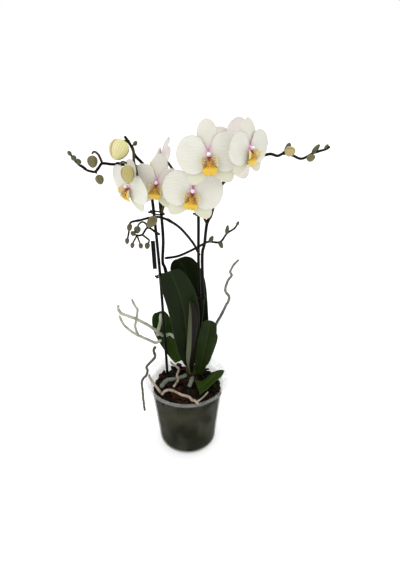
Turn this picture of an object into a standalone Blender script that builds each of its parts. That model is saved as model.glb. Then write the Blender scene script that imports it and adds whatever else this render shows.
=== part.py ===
# Potted moth orchid: a clear nursery pot of bark, leaves, aerial roots and two staked flower spikes.
# The origin is the centre of the pot's base, +Z is up and the flowers face -Y.
# Routes, widths and places below are in millimetres; MM turns them into metres.

import math
import random

import bmesh
import bpy
from mathutils import Matrix, Vector

MM = 0.001

# Pot, in millimetres.
POT_HEIGHT = 114.0
LIP_RADIUS = 60.0
LIP_DEPTH = 5.0
LIP_WIDTH = 2.8
NECK_HEIGHT = 108.0
NECK_RADIUS = 54.0
SHOULDER_HEIGHT = 88.0
SHOULDER_RADIUS = 50.5
LOW_RADIUS = 42.8
FOOT_RADIUS = 35.0
FOOT_ROUND = 12.0
WALL = 1.2
FLOOR = 1.6
DRAIN_COUNT = 8
DRAIN_RING = 27.0
DRAIN_RADIUS = 4.0

# Bark mix: a flat bed with low lumps, level around whatever stands in it.
BARK_TOP = 95.0
BARK_LUMP = 5.0
BARK_GAP = 0.6
PAD_RADIUS = 5.0

# Crown: the short stem that every leaf and spike grows from.
CROWN_CENTRE = (7, 26, 106)
CROWN_RADII = (9, 8, 11)

LEAF_THICKNESS = 1.8
STAKE_RADIUS = 2.0
CLIP_WIRE = 1.0
CLIP_CLEARANCE = 1.0
CLIP_EAR = 2.0

STAKES = {
    "stake_left": [(-31, 33, 95.5), (-36, 36, 261), (-41, 38, 355), (-44, 39, 387)],
    "stake_right": [(25, 35, 95.5), (19, 37, 223), (17, 38, 283), (17, 39, 345), (16, 39, 365)],
}

# Each leaf: midrib route, half width, half width at the base and at the tip, facing, fold in degrees;
# a higher blunt draws the tip out to a point.
LEAVES = {
    "leaf_back": dict(
        midrib=[(11, 38, 108), (14, 51, 140), (8, 58, 190), (3, 60, 240), (-9, 60, 278)],
        half_width=24, base=5, tip=7, facing=(0, -1, 0.1), fold=8,
    ),
    "leaf_front": dict(
        midrib=[(3, 18, 119), (1, 22, 150), (-3, 20, 210), (-9, 17, 245), (-21, 14, 281)],
        half_width=22, base=4, tip=9, facing=(0, -1, 0.1), fold=5,
    ),
    "leaf_folded": dict(
        midrib=[(5, 11, 112), (0, 9, 140), (2, 7, 180), (6, 8, 237)],
        half_width=14, base=4, tip=1.5, facing=(0.92, -0.38, 0.1), fold=51, blunt=0.8,
    ),
    "leaf_right": dict(
        midrib=[(17, 13, 108), (23, 16, 140), (29, 16, 170), (34, 15, 202)],
        half_width=13, base=4, tip=5, facing=(-0.2, -0.95, 0.1), fold=14,
    ),
    "leaf_small": dict(
        midrib=[(27, 27, 116), (32, 28, 140), (41, 28, 173)],
        half_width=8, base=3, tip=2, facing=(-0.3, -0.95, 0.2), fold=20,
    ),
    "leaf_cut": dict(
        midrib=[(15.5, -16, 107), (25, -13, 109), (38, -1, 113), (54, 12, 117)],
        half_width=8, base=17, tip=0.6, facing=(-0.1, -0.1, 0.98), fold=6, blunt=1.2,
    ),
    "leaf_left": dict(
        midrib=[(-11, 34, 117), (-19, 44, 131), (-35, 52, 160), (-42, 56, 191)],
        half_width=15, base=8, tip=5, facing=(0.2, -0.95, 0.25), fold=10,
    ),
}

# Each root: its own route, then the forks that grow from it. A stretch is (route, first radius, last radius).
ROOTS = {
    "root_left": [
        ([(0, 37, 124), (-4, 40, 138), (-14, 39, 152), (-25, 41, 161), (-36, 40, 160), (-51, 27, 183),
          (-70, 15, 205), (-88, 8, 218), (-92, 6, 225), (-92, 4, 233)], 2.7, 1.9),
        ([(-43, 34, 165), (-43, 36, 169), (-39, 41, 183), (-38, 42, 195)], 2.6, 2.3),
    ],
    "root_left_low": [
        ([(-39, 34, 155), (-47, 30, 154), (-60, 22, 167), (-69, 14, 178), (-78, 7, 190), (-86, 1, 205),
          (-90, -4, 222)], 2.2, 1.6),
        ([(-69, 14, 178), (-73, 19, 189), (-72, 22, 197), (-69, 24, 214), (-72, 25, 220), (-76, 26, 230)],
         1.9, 1.5),
    ],
    "root_over_rim": [
        ([(-47, 27, 148), (-49, 22, 145), (-47, 14, 139), (-58, 4, 131), (-57, 0, 126), (-59, -5, 121),
          (-65, -8, 113), (-65, -8, 93), (-65, -8, 77), (-64, -7, 57)], 2.1, 1.6),
    ],
    "root_rim_pale": [
        ([(-55, -2, 119), (-52, -5, 113), (-43, -15, 107), (-38, -22, 104.5)], 1.6, 2.0),
    ],
    "root_bed_back": [
        ([(-26, 43.5, 108), (-22, 36, 109), (-13, 24, 110), (-15, 9, 110), (-13, -1, 109.5), (-19, -13, 107)],
         1.5, 1.7),
    ],
    "root_bed_front": [
        ([(-35, -28, 106), (-30, -22, 107), (-22, -21, 107), (-8, -31, 108), (4, -38, 109), (8, -46, 111),
          (11, -51, 115), (14, -57, 117.2), (16, -60, 117)], 2.2, 1.5),
        ([(14, -57, 117.2), (18, -51, 115), (21, -42, 110), (26, -32, 107), (30, -24, 106)], 1.2, 1.0),
    ],
    "root_bed_thick": [
        ([(-37, -9, 104.5), (-30, 3, 104.5), (-18, 7, 104.8), (-8, 9.5, 106), (-2, 11, 108.5)], 3.3, 2.9),
    ],
    "root_bed_short": [
        ([(7.5, 8, 105.5), (6, 1, 105), (4, -8, 104.5)], 3.3, 3.0),
    ],
    "root_right": [
        ([(26, 42, 113), (34, 40, 145), (40, 37, 175), (48, 33, 197), (54, 30, 214), (60, 28, 232), (54, 27, 244),
          (57, 26, 260), (62, 25, 269), (60, 25, 275), (64, 24, 285), (70, 23, 293)], 2.4, 1.4),
    ],
}

# Each spike or side branch: main stretch first, then the twigs and flower stalks that leave it.
STEMS = {
    "spike_left": [
        ([(-2, 30, 124), (-9, 34, 152), (-16, 39, 187), (-28, 40, 266), (-32, 39, 282), (-30, 36, 317),
          (-31, 33, 355), (-33, 26, 392), (-37, 14, 409), (-40, 5, 419), (-49, -3, 433), (-55, -8, 442),
          (-58, -12, 453), (-62, -14, 461), (-64, -16, 465)], 2.3, 1.5),
        ([(-60, -13, 457), (-64, -17, 461), (-65.6, -18.9, 461.2)], 1.1, 1.0),
        ([(-58, -12, 453), (-55, -12, 456)], 1.0, 0.9),
    ],
    "spike_left_outer": [
        ([(-45, -2, 423), (-50, -8, 428), (-59, -18, 434), (-70, -26, 437), (-79, -32, 439), (-88, -36, 441),
          (-92, -38, 437), (-96, -40, 433), (-100, -42, 434), (-104, -44, 436), (-108, -46, 440),
          (-111, -48, 443), (-115, -50, 449), (-118, -52, 456)], 1.8, 1.1),
        ([(-88, -36, 441), (-90, -38, 449), (-92, -39, 453), (-95, -40, 455), (-97, -41, 453.5)], 1.4, 1.1),
        ([(-70, -26, 437), (-68, -38, 442), (-63, -50, 447), (-58.5, -58.5, 448)], 1.2, 1.0),
        ([(-96, -40, 433), (-94, -42, 432)], 1.0, 0.9),
    ],
    "spike_left_lower": [
        ([(-34.5, 31, 327), (-39, 27, 332), (-48, 20, 341), (-55, 14, 334), (-61, 10, 335), (-64, 7, 338)],
         1.6, 1.1),
        ([(-48, 20, 341), (-50, 17, 348), (-54, 15, 351), (-58, 13, 349), (-60, 12, 345)], 1.3, 1.1),
        ([(-55, 14, 334), (-49, 12, 330), (-46, 11, 327), (-48, 10, 323)], 1.3, 1.1),
        ([(-61, 10, 335), (-59, 8, 329), (-57, 6, 324)], 1.2, 1.0),
        ([(-61, 10, 335), (-64, 8, 330), (-67, 6, 325)], 1.2, 1.0),
    ],
    "spike_left_side": [
        ([(-28, 41.5, 287), (-9, 43, 290), (16, 49, 300), (30, 51, 307), (46, 48, 308), (55, 45, 322),
          (64, 42, 330), (68, 40, 337)], 1.8, 1.2),
    ],
    "spike_right": [
        ([(15, 28, 124), (18, 29, 150), (19, 30, 176), (23, 31, 226), (22, 33.5, 293), (25, 34, 312),
          (28, 31, 342), (33, 24, 356), (38, 8, 384), (44, -12, 408), (51, -28, 423), (60, -36, 434),
          (72, -38, 443), (84, -38, 449), (95, -38, 452), (103, -38, 450), (110, -39, 453), (119, -40, 451),
          (129, -42, 448), (141, -44, 455), (152, -46, 459), (156, -47, 462)], 2.3, 1.2),
    ],
    "spike_right_arch": [
        ([(18, 31.5, 297), (10, 27, 316), (-5, 14, 342), (-18, 3, 357), (-30, -6, 366), (-41, -10, 367),
          (-53, -13, 365), (-64, -15, 363), (-66, -16, 357), (-68, -15, 348), (-70, -16, 340)], 1.8, 1.1),
        ([(-30, -6, 366), (-33, -11, 369)], 1.2, 1.0),
    ],
}

# Small buds stay one piece with their twig: (base, tip, width).
SMALL_BUDS = {
    "spike_left": [((-55, -12, 454.5), (-52, -12, 459.5), 5)],
    "spike_left_outer": [
        ((-109.5, -48, 444), (-112, -50, 450), 5.5),
        ((-113.5, -50, 449), (-117, -52, 454), 6),
        ((-117.5, -52, 454.5), (-119.5, -54, 459.5), 4.5),
    ],
    "spike_left_lower": [
        ((-60, 12, 346.5), (-61, 11, 337), 9),
        ((-48, 10.5, 324.5), (-49.5, 9, 316), 7),
        ((-57, 6.5, 325.5), (-56, 5, 318.5), 6),
        ((-63.5, 7.5, 336.5), (-67.5, 5, 342), 6.5),
        ((-66.5, 6.5, 326.5), (-68, 5, 319), 5.5),
    ],
    "spike_left_side": [
        ((32, 50.5, 306.5), (36.5, 48, 317), 6.5),
        ((45.5, 48.5, 309.5), (49.5, 46, 299.5), 6.5),
        ((54.5, 45.5, 321), (56, 43, 335), 5.5),
        ((67.5, 40.5, 335.5), (70, 39, 342), 4),
    ],
    "spike_right": [
        ((139, -44, 454), (146, -44, 464), 5.5),
        ((152, -46, 458.5), (155, -44, 464), 4.5),
        ((112, -38, 452), (116, -33, 463), 7),
    ],
    "spike_right_arch": [
        ((-65, -15.8, 361.5), (-67, -18, 352.5), 6.5),
        ((-69.8, -15.8, 343), (-70.5, -17, 335), 5.5),
    ],
}

# Large buds are pieces of their own: (base, tip, width).
BUDS = {
    "bud_top": ((-66, -21, 462.5), (-75.2, -33.5, 445), 22.8),
    "bud_hanging": ((-58, -60.8, 446.3), (-56.2, -66.5, 428.5), 14.8),
    "bud_curl": ((-97.5, -42, 451.5), (-97, -44, 438.5), 11.5),
    "bud_low": ((-92.5, -43, 430.5), (-89.5, -46, 420.5), 9.5),
    "bud_right": ((111, -42.5, 455), (119, -50, 459.5), 11),
    "bud_right_outer": ((133, -48.6, 449), (141, -51, 453.5), 8),
    "bud_arch": ((-34, -13, 369.5), (-43.5, -21.5, 359.5), 11.2),
}

# Each flower: column place, then yaw, pitch and roll in degrees, its size against a 66 mm flower,
# and the stem it grows from with the first places of its stalk.
FLOWERS = {
    "flower_1": dict(column=(28, -72, 461), yaw=0, pitch=10, roll=5, size=1.0),
    "flower_2": dict(column=(11, -56, 416), yaw=0, pitch=6, roll=-8, size=1.0),
    "flower_3": dict(column=(-30, -40, 420), yaw=-8, pitch=6, roll=-8, size=0.9),
    "flower_4": dict(column=(-63.5, -50, 419), yaw=-45, pitch=-6, roll=-12, size=0.88),
    "flower_5": dict(column=(74, -70, 467), yaw=42, pitch=6, roll=-4, size=0.85),
    "flower_6": dict(column=(56, 4, 450), yaw=180, pitch=4, roll=12, size=1.05),
    "flower_7": dict(column=(-33, 0, 436), yaw=-108, pitch=14, roll=10, size=0.82),
}
STALKS = {
    "flower_1": ("spike_right", [(51, -28, 423), (44, -42, 434), (36, -52, 448)]),
    "flower_2": ("spike_right", [(28, 31, 342), (25, 27, 350), (19, 12, 371), (14, -12, 392), (11, -34, 408)]),
    "flower_3": ("spike_left", [(-33, 26, 392), (-38, 12, 393), (-40, -6, 397), (-36, -19, 406)]),
    "flower_4": ("spike_left", [(-57, -12, 452), (-55, -20, 449), (-54, -30, 440), (-51, -36, 430)]),
    "flower_5": ("spike_right", [(72, -38, 443), (66, -41, 454)]),
    "flower_6": ("spike_right", [(60, -36, 434), (60, -26, 438)]),
    "flower_7": ("spike_left", [(-31, 33, 355), (-23, 22, 378), (-12, 6, 392), (-5, -8, 410)]),
}
STALK_RADIUS = 1.5
COLUMN_REACH = 8.0
TEPAL_THICKNESS = 0.8
LIP_THICKNESS = 1.0
PETAL_LIFT = 2.2
LIP_LIFT = 4.4

# Lobes: direction in degrees, length and width, each an ellipse through the flower's centre.
SEPAL_LOBES = [(90, 34.5, 22), (234, 37, 21), (306, 37, 21)]
PETAL_LOBES = [(0, 33.5, 40), (180, 33.5, 40)]
LIP_LOBES = [(270, 21, 15), (198, 10.5, 10), (342, 10.5, 10)]

COLOURS = {
    "pot": (0.30, 0.31, 0.27),
    "bark": (0.07, 0.035, 0.02),
    "crown": (0.12, 0.13, 0.05),
    "leaf": (0.04, 0.10, 0.03),
    "root": (0.36, 0.38, 0.32),
    "stem": (0.06, 0.03, 0.03),
    "bud": (0.42, 0.45, 0.15),
    "stake": (0.01, 0.01, 0.01),
    "tepal": (0.90, 0.88, 0.84),
    "lip": (0.85, 0.55, 0.08),
}


def clear_scene():
    for item in list(bpy.data.objects):
        bpy.data.objects.remove(item, do_unlink=True)


def new_collection(name):
    group = bpy.data.collections.new(name)
    bpy.context.scene.collection.children.link(group)
    return group


def make_material(name, colour, roughness, metallic=0.0):
    material = bpy.data.materials.new(name)
    material.use_nodes = True
    shader = material.node_tree.nodes["Principled BSDF"]
    shader.inputs["Base Color"].default_value = (*colour, 1.0)
    shader.inputs["Roughness"].default_value = roughness
    shader.inputs["Metallic"].default_value = metallic
    return material


def finish(item, colour, roughness=0.5):
    # Give a piece its own material and smooth shading with crisp edges.
    item.data.materials.clear()
    item.data.materials.append(make_material(item.name, COLOURS[colour], roughness))
    if item.type == "MESH":
        item.data.shade_smooth()
        item.data.set_sharp_from_angle(angle=math.radians(40))
    return item


def smooth_route(points, steps):
    # Points on a Catmull-Rom curve through the route, the ends included.
    knots = [Vector(place) for place in points]
    knots = [knots[0]] + knots + [knots[-1]]
    result = []
    for before, first, last, after in zip(knots, knots[1:], knots[2:], knots[3:]):
        for step in range(steps):
            t = step / steps
            result.append(0.5 * (
                2 * first
                + (last - before) * t
                + (2 * before - 5 * first + 4 * last - after) * t ** 2
                + (3 * first - before - 3 * last + after) * t ** 3
            ))
    result.append(knots[-1])
    return result


def tube(name, route, first_radius, last_radius, steps=2, resolution=2):
    # A tapering rod along the route, with filled ends.
    points = smooth_route(route, steps)
    curve = bpy.data.curves.new(name, "CURVE")
    curve.dimensions = "3D"
    curve.bevel_depth = MM
    curve.bevel_resolution = resolution
    curve.use_fill_caps = True
    spline = curve.splines.new("POLY")
    spline.points.add(len(points) - 1)
    for index, place in enumerate(points):
        share = index / (len(points) - 1)
        spline.points[index].co = (*(place * MM), 1.0)
        spline.points[index].radius = first_radius + (last_radius - first_radius) * share
    item = bpy.data.objects.new(name, curve)
    PLANT.objects.link(item)
    return item


def as_mesh(item):
    # Turn a curve object into a closed mesh object of the same name.
    name = item.name
    depsgraph = bpy.context.evaluated_depsgraph_get()
    data = bpy.data.meshes.new_from_object(item.evaluated_get(depsgraph))
    body = bmesh.new()
    body.from_mesh(data)
    bmesh.ops.remove_doubles(body, verts=body.verts, dist=0.001 * MM)
    body.to_mesh(data)
    body.free()
    result = bpy.data.objects.new(name, data)
    result.matrix_world = item.matrix_world
    bpy.data.objects.remove(item, do_unlink=True)
    result.name = name
    PLANT.objects.link(result)
    return result


def from_bmesh(name, body, group):
    data = bpy.data.meshes.new(name)
    body.to_mesh(data)
    body.free()
    item = bpy.data.objects.new(name, data)
    group.objects.link(item)
    return item


def join(item, others):
    # Unite other closed meshes with this one; they become hidden cutters.
    for other in others:
        for group in list(other.users_collection):
            group.objects.unlink(other)
        CUTTERS.objects.link(other)
        other.hide_render = True
        other.display_type = "WIRE"
        union = item.modifiers.new("join_" + other.name, "BOOLEAN")
        union.operation = "UNION"
        union.object = other


def make_pot():
    # Profile from the inner floor's centre up the inside, over the rolled lip and down the outside.
    inner_low = LOW_RADIUS - WALL
    inner_lip = LIP_RADIUS - LIP_WIDTH
    profile = [
        (0, FLOOR),
        (FOOT_RADIUS - WALL, FLOOR),
        (inner_low - 1.8, FOOT_ROUND * 0.45),
        (inner_low, FOOT_ROUND + 1),
        (SHOULDER_RADIUS - WALL, SHOULDER_HEIGHT),
        (NECK_RADIUS - WALL, NECK_HEIGHT + 1),
        (inner_lip, NECK_HEIGHT + 3),
        (inner_lip, POT_HEIGHT - 0.8),
        (inner_lip + 0.8, POT_HEIGHT),
        (LIP_RADIUS - 0.8, POT_HEIGHT),
        (LIP_RADIUS, POT_HEIGHT - 0.8),
        (LIP_RADIUS, POT_HEIGHT - LIP_DEPTH + 0.6),
        (NECK_RADIUS, NECK_HEIGHT),
        (SHOULDER_RADIUS, SHOULDER_HEIGHT),
        (LOW_RADIUS, FOOT_ROUND),
        (LOW_RADIUS - 1.9, FOOT_ROUND * 0.36),
        (FOOT_RADIUS, 0),
        (0, 0),
    ]
    data = bpy.data.meshes.new("pot")
    body = bmesh.new()
    corners = [body.verts.new((radius * MM, 0, height * MM)) for radius, height in profile]
    for first, last in zip(corners, corners[1:]):
        body.edges.new((first, last))
    body.to_mesh(data)
    body.free()
    pot = bpy.data.objects.new("pot", data)
    PLANT.objects.link(pot)
    turn = pot.modifiers.new("turn", "SCREW")
    turn.steps = 32
    turn.render_steps = 32
    turn.use_merge_vertices = True
    turn.merge_threshold = 0.0001
    drains = bmesh.new()
    for index in range(DRAIN_COUNT):
        angle = 2 * math.pi * index / DRAIN_COUNT
        place = Vector((math.cos(angle) * DRAIN_RING, math.sin(angle) * DRAIN_RING, 0)) * MM
        bmesh.ops.create_cone(
            drains, cap_ends=True, segments=10, radius1=DRAIN_RADIUS * MM, radius2=DRAIN_RADIUS * MM,
            depth=4 * FLOOR * MM, matrix=Matrix.Translation(place),
        )
    cutter = from_bmesh("drain_cutter", drains, CUTTERS)
    cutter.hide_render = True
    cutter.display_type = "WIRE"
    cut = pot.modifiers.new("drains", "BOOLEAN")
    cut.operation = "DIFFERENCE"
    cut.object = cutter
    finish(pot, "pot", 0.4)


def pot_inner_radius(height):
    if height > SHOULDER_HEIGHT:
        share = (height - SHOULDER_HEIGHT) / (NECK_HEIGHT + 1 - SHOULDER_HEIGHT)
        return SHOULDER_RADIUS - WALL + (NECK_RADIUS - SHOULDER_RADIUS) * share
    share = (height - FOOT_ROUND) / (SHOULDER_HEIGHT - FOOT_ROUND)
    return LOW_RADIUS - WALL + (SHOULDER_RADIUS - LOW_RADIUS) * share


def make_bark():
    pads = [Vector(route[0][:2]) for route in STAKES.values()]
    crown = Vector(CROWN_CENTRE[:2])
    noise = random.Random(7)
    floor = FLOOR + BARK_GAP
    side = [
        (FOOT_RADIUS - 2.5, floor),
        (pot_inner_radius(FOOT_ROUND + 2) - BARK_GAP, FOOT_ROUND + 2),
        (pot_inner_radius(SHOULDER_HEIGHT) - BARK_GAP, SHOULDER_HEIGHT),
        (pot_inner_radius(BARK_TOP) - BARK_GAP, BARK_TOP),
    ]
    top = [(radius, BARK_TOP) for radius in (42, 32, 21, 10)]
    profile = [(0, BARK_TOP)] + top[::-1] + side[::-1] + [(0, floor)]
    body = bmesh.new()
    corners = [body.verts.new((radius * MM, 0, height * MM)) for radius, height in profile]
    edges = [body.edges.new(pair) for pair in zip(corners, corners[1:])]
    bmesh.ops.spin(
        body, geom=corners + edges, axis=(0, 0, 1), cent=(0, 0, 0), angle=2 * math.pi, steps=28, use_merge=True
    )
    bmesh.ops.remove_doubles(body, verts=body.verts, dist=0.01 * MM)
    for corner in body.verts:
        spot = Vector(corner.co[:2]) / MM
        if corner.co.z < (BARK_TOP - 1) * MM or spot.length > 45:
            continue
        clear = min([(spot - pad).length - PAD_RADIUS for pad in pads] + [(spot - crown).length - 15])
        level = min(1.0, max(0.0, clear / 8))
        corner.co.z += BARK_LUMP * level * noise.random() * MM
    bmesh.ops.recalc_face_normals(body, faces=body.faces)
    finish(from_bmesh("bark", body, PLANT), "bark", 0.9)


def make_crown():
    body = bmesh.new()
    scale = Matrix.Diagonal((*[radius * MM for radius in CROWN_RADII], 1))
    place = Matrix.Translation(Vector(CROWN_CENTRE) * MM)
    bmesh.ops.create_uvsphere(body, u_segments=12, v_segments=8, radius=1, matrix=place @ scale)
    finish(from_bmesh("crown", body, PLANT), "crown", 0.6)


def make_leaf(name, midrib, half_width, base, tip, facing, fold, blunt=0.5):
    # A strap along the midrib, folded up along its middle and rounded towards the tip.
    rows = 9
    spine = smooth_route(midrib, 8)
    facing = Vector(facing).normalized()
    lift = math.sin(math.radians(fold))
    spread = math.cos(math.radians(fold))
    body = bmesh.new()
    bmesh.ops.create_grid(body, x_segments=4, y_segments=rows, size=1)
    for corner in body.verts:
        across = corner.co.x
        along = math.sin((corner.co.y + 1) / 2 * math.pi / 2)
        spot = along * (len(spine) - 1)
        index = min(int(spot), len(spine) - 2)
        place = spine[index].lerp(spine[index + 1], spot - index)
        forward = (spine[index + 1] - spine[index]).normalized()
        aside = forward.cross(facing).normalized()
        upper = aside.cross(forward)
        opened = min(1.0, along / 0.6)
        width = base + (half_width - base) * opened * (2 - opened)
        closing = max(0.0, (along - 0.72) / 0.28)
        width = tip + (width - tip) * (1 - closing ** 2) ** blunt
        reach = width * across
        corner.co = (place + aside * reach * spread + upper * abs(reach) * lift) * MM
    leaf = from_bmesh(name, body, PLANT)
    shell = leaf.modifiers.new("thickness", "SOLIDIFY")
    shell.thickness = LEAF_THICKNESS * MM
    shell.offset = 0
    finish(leaf, "leaf", 0.4)


def make_rooted(name, stretches, colour, roughness, buds=()):
    # One tube and everything that grows from it, as a single closed piece.
    others = []
    for index, (route, first_radius, last_radius) in enumerate(stretches):
        steps = 1 if len(route) > 11 else 2
        part_name = f"{name}_fork_{index}" if index else name
        others.append(as_mesh(tube(part_name, route, first_radius, last_radius, steps, 1)))
    main = others.pop(0)
    for index, (base, tip, width) in enumerate(buds):
        others.append(make_bud(f"{name}_bud_{index}", base, tip, width, 6, 5))
    join(main, others)
    finish(main, colour, roughness)


def make_bud(name, base, tip, width, around=10, rings=8):
    # A rounded drop, fuller near its base and pointed at its tip.
    base = Vector(base) * MM
    axis = Vector(tip) * MM - base
    body = bmesh.new()
    bmesh.ops.create_uvsphere(body, u_segments=around, v_segments=rings, radius=0.5)
    for corner in body.verts:
        share = corner.co.z + 0.5
        girth = width * MM * (1.12 - 0.28 * share)
        corner.co = Vector((corner.co.x * girth, corner.co.y * girth, share * axis.length))
    turn = Vector((0, 0, 1)).rotation_difference(axis).to_matrix().to_4x4()
    bmesh.ops.transform(body, matrix=Matrix.Translation(base) @ turn, verts=body.verts)
    return from_bmesh(name, body, PLANT)


def lobe_reach(angle, lobe):
    # Distance from the flower's centre to the edge of an ellipse through that centre.
    direction, length, width = lobe
    turn = (angle - direction + 180) % 360 - 180
    if abs(turn) >= 90:
        return 0.0
    cosine = math.cos(math.radians(turn))
    sine = math.sin(math.radians(turn))
    half_length = length / 2
    half_width = width / 2
    return 2 * half_width ** 2 * half_length * cosine / ((half_width * cosine) ** 2 + (half_length * sine) ** 2)


def dish(radius):
    # How far the flower's face rises and then falls back, away from its centre.
    return 0.10 * radius - 0.0042 * radius ** 2


def flower_frame(column, yaw, pitch, roll):
    # Local +Z faces out of the flower, local +Y points to its top.
    turn = (
        Matrix.Rotation(math.radians(yaw), 4, "Z")
        @ Matrix.Rotation(math.radians(90 - pitch), 4, "X")
        @ Matrix.Rotation(math.radians(roll), 4, "Z")
    )
    facing = turn @ Vector((0, 0, 1))
    return Matrix.Translation((Vector(column) - facing * COLUMN_REACH) * MM) @ turn


def make_rosette(name, frame, size, lobes, hub, around, rings, heights, thickness, colour):
    # A lobed sheet, ring by ring from its centre; heights(share, angle, reach) gives radius and height.
    body = bmesh.new()
    bmesh.ops.create_grid(body, x_segments=around, y_segments=rings, size=1)
    for corner in body.verts:
        angle = 90 + 180 * (corner.co.x + 1)
        share = (corner.co.y + 1) / 2
        reach = max([hub] + [lobe_reach(angle, lobe) for lobe in lobes])
        radius, height = heights(share, angle, reach)
        corner.co = Vector((
            math.cos(math.radians(angle)) * radius,
            math.sin(math.radians(angle)) * radius,
            height,
        )) * size * MM
    bmesh.ops.remove_doubles(body, verts=body.verts, dist=0.01 * MM)
    bmesh.ops.transform(body, matrix=frame, verts=body.verts)
    item = from_bmesh(name, body, PLANT)
    shell = item.modifiers.new("thickness", "SOLIDIFY")
    shell.thickness = thickness * MM
    shell.offset = 0
    finish(item, colour, 0.5)


def sepal_height(share, angle, reach):
    radius = reach * share
    return radius, dish(radius)


def petal_height(share, angle, reach):
    radius = reach * share
    return radius, PETAL_LIFT + dish(radius)


def lip_height(share, angle, reach):
    # The first rings make the column, the others the lip that opens below it.
    if share < 0.1:
        return 0.0, COLUMN_REACH + 1.0
    if share < 0.4:
        return 2.4, COLUMN_REACH
    if share < 0.6:
        return 3.4, LIP_LIFT
    downward = max(0.0, -math.sin(math.radians(angle)))
    radius = 3.4 + (reach - 3.4) * (share - 0.5) * 2
    swing = math.sin(math.pi * min(1.0, (radius - 3.4) / 17)) * 9 * downward ** 2
    aside = abs(math.cos(math.radians(angle))) * (radius - 3.4) * 0.9 * (downward > 0.05)
    return radius, LIP_LIFT + swing + aside * (1 - downward ** 2)


def flower_stalks(stem_name):
    # The stalks of this stem's flowers, each ending square to its flower's back.
    stalks = []
    for flower_name, (owner, route) in STALKS.items():
        if owner == stem_name:
            flower = FLOWERS[flower_name]
            frame = flower_frame(flower["column"], flower["yaw"], flower["pitch"], flower["roll"])
            behind = [frame @ Vector((0, 0, -depth * MM)) / MM for depth in (9.0, 1.8)]
            stalks.append((route + [tuple(place) for place in behind], STALK_RADIUS, STALK_RADIUS))
    return stalks


def make_flower(name, column, yaw, pitch, roll, size):
    frame = flower_frame(column, yaw, pitch, roll)
    make_rosette(f"{name}_sepals", frame, size, SEPAL_LOBES, 3.0, 30, 2, sepal_height, TEPAL_THICKNESS, "tepal")
    make_rosette(f"{name}_petals", frame, size, PETAL_LOBES, 3.0, 24, 3, petal_height, TEPAL_THICKNESS, "tepal")
    make_rosette(f"{name}_lip", frame, size, LIP_LOBES, 4.6, 16, 4, lip_height, LIP_THICKNESS, "lip")


def make_clip(name, first, second):
    # A wire loop around a stake and a stem, open at one end with both ends turned out as ears.
    first = Vector(first)
    second = Vector(second)
    centre = (first + second) / 2
    along = (second - first).normalized()
    aside = Vector((0, 0, 1)).cross(along).normalized()
    margin = STAKE_RADIUS + CLIP_CLEARANCE + CLIP_WIRE
    half_length = (second - first).length / 2 + margin
    ears = centre - along * (half_length + CLIP_EAR)
    points = [ears + aside * 2.5]
    for step in range(13):
        angle = math.radians(160 - 320 * step / 12)
        points.append(centre + along * math.cos(angle) * half_length + aside * math.sin(angle) * (margin + 0.8))
    points.append(ears - aside * 2.5)
    finish(tube(name, points, CLIP_WIRE, CLIP_WIRE, 1, 1), "stake", 0.35)


def make_tag():
    body = bmesh.new()
    scale = Matrix.Diagonal((5.6 * MM, 2.2 * MM, 42 * MM, 1))
    lean = Matrix.Rotation(math.radians(-1.5), 4, "Y")
    place = Matrix.Translation(Vector((-43.4, 36.6, 294)) * MM)
    bmesh.ops.create_cube(body, size=1, matrix=place @ lean @ scale)
    tag = from_bmesh("stake_tag", body, PLANT)
    edge = tag.modifiers.new("edge", "BEVEL")
    edge.width = 0.9 * MM
    edge.segments = 2
    finish(tag, "stake", 0.4)


clear_scene()
PLANT = new_collection("potted_orchid")
CUTTERS = new_collection("cutters")
make_pot()
make_bark()
make_crown()
for leaf_name, leaf in LEAVES.items():
    make_leaf(leaf_name, **leaf)
for root_name, stretches in ROOTS.items():
    make_rooted(root_name, stretches, "root", 0.7)
for stem_name, stretches in STEMS.items():
    stretches = stretches + flower_stalks(stem_name)
    make_rooted(stem_name, stretches, "stem", 0.5, SMALL_BUDS.get(stem_name, ()))
for bud_name, (base, tip, width) in BUDS.items():
    finish(make_bud(bud_name, base, tip, width), "bud", 0.5)
for stake_name, route in STAKES.items():
    finish(tube(stake_name, route, STAKE_RADIUS, STAKE_RADIUS, 2), "stake", 0.4)
make_tag()
make_clip("clip_left_high", (-41, 38, 355), (-31, 33, 355))
make_clip("clip_left_low", (-36, 36, 262), (-27.7, 40, 262))
make_clip("clip_right_high", (17, 39, 352), (19, 37.5, 352))
make_clip("clip_right_low", (19, 37, 230), (23, 31.2, 230))
for flower_name, flower in FLOWERS.items():
    make_flower(flower_name, **flower)
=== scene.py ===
import math
import random

import bmesh
import bpy
from mathutils import Matrix, Quaternion, Vector, noise


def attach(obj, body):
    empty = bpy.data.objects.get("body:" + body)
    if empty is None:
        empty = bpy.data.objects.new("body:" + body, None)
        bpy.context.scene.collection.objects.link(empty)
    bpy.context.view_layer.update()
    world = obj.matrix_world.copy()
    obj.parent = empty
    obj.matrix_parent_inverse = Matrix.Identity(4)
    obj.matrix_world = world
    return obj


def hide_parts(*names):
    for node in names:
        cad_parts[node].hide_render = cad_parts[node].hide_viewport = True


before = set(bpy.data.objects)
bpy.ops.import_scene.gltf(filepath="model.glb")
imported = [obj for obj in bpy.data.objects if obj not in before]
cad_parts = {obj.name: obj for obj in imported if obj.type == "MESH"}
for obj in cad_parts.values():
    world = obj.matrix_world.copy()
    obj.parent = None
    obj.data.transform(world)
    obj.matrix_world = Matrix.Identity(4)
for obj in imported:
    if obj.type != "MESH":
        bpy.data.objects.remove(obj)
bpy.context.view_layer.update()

# Potted moth orchid. +Z is up and most flowers face -Y.
# Lengths and places in the dictionaries are millimetres; mm turns them into metres.
mm = 0.001


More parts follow.
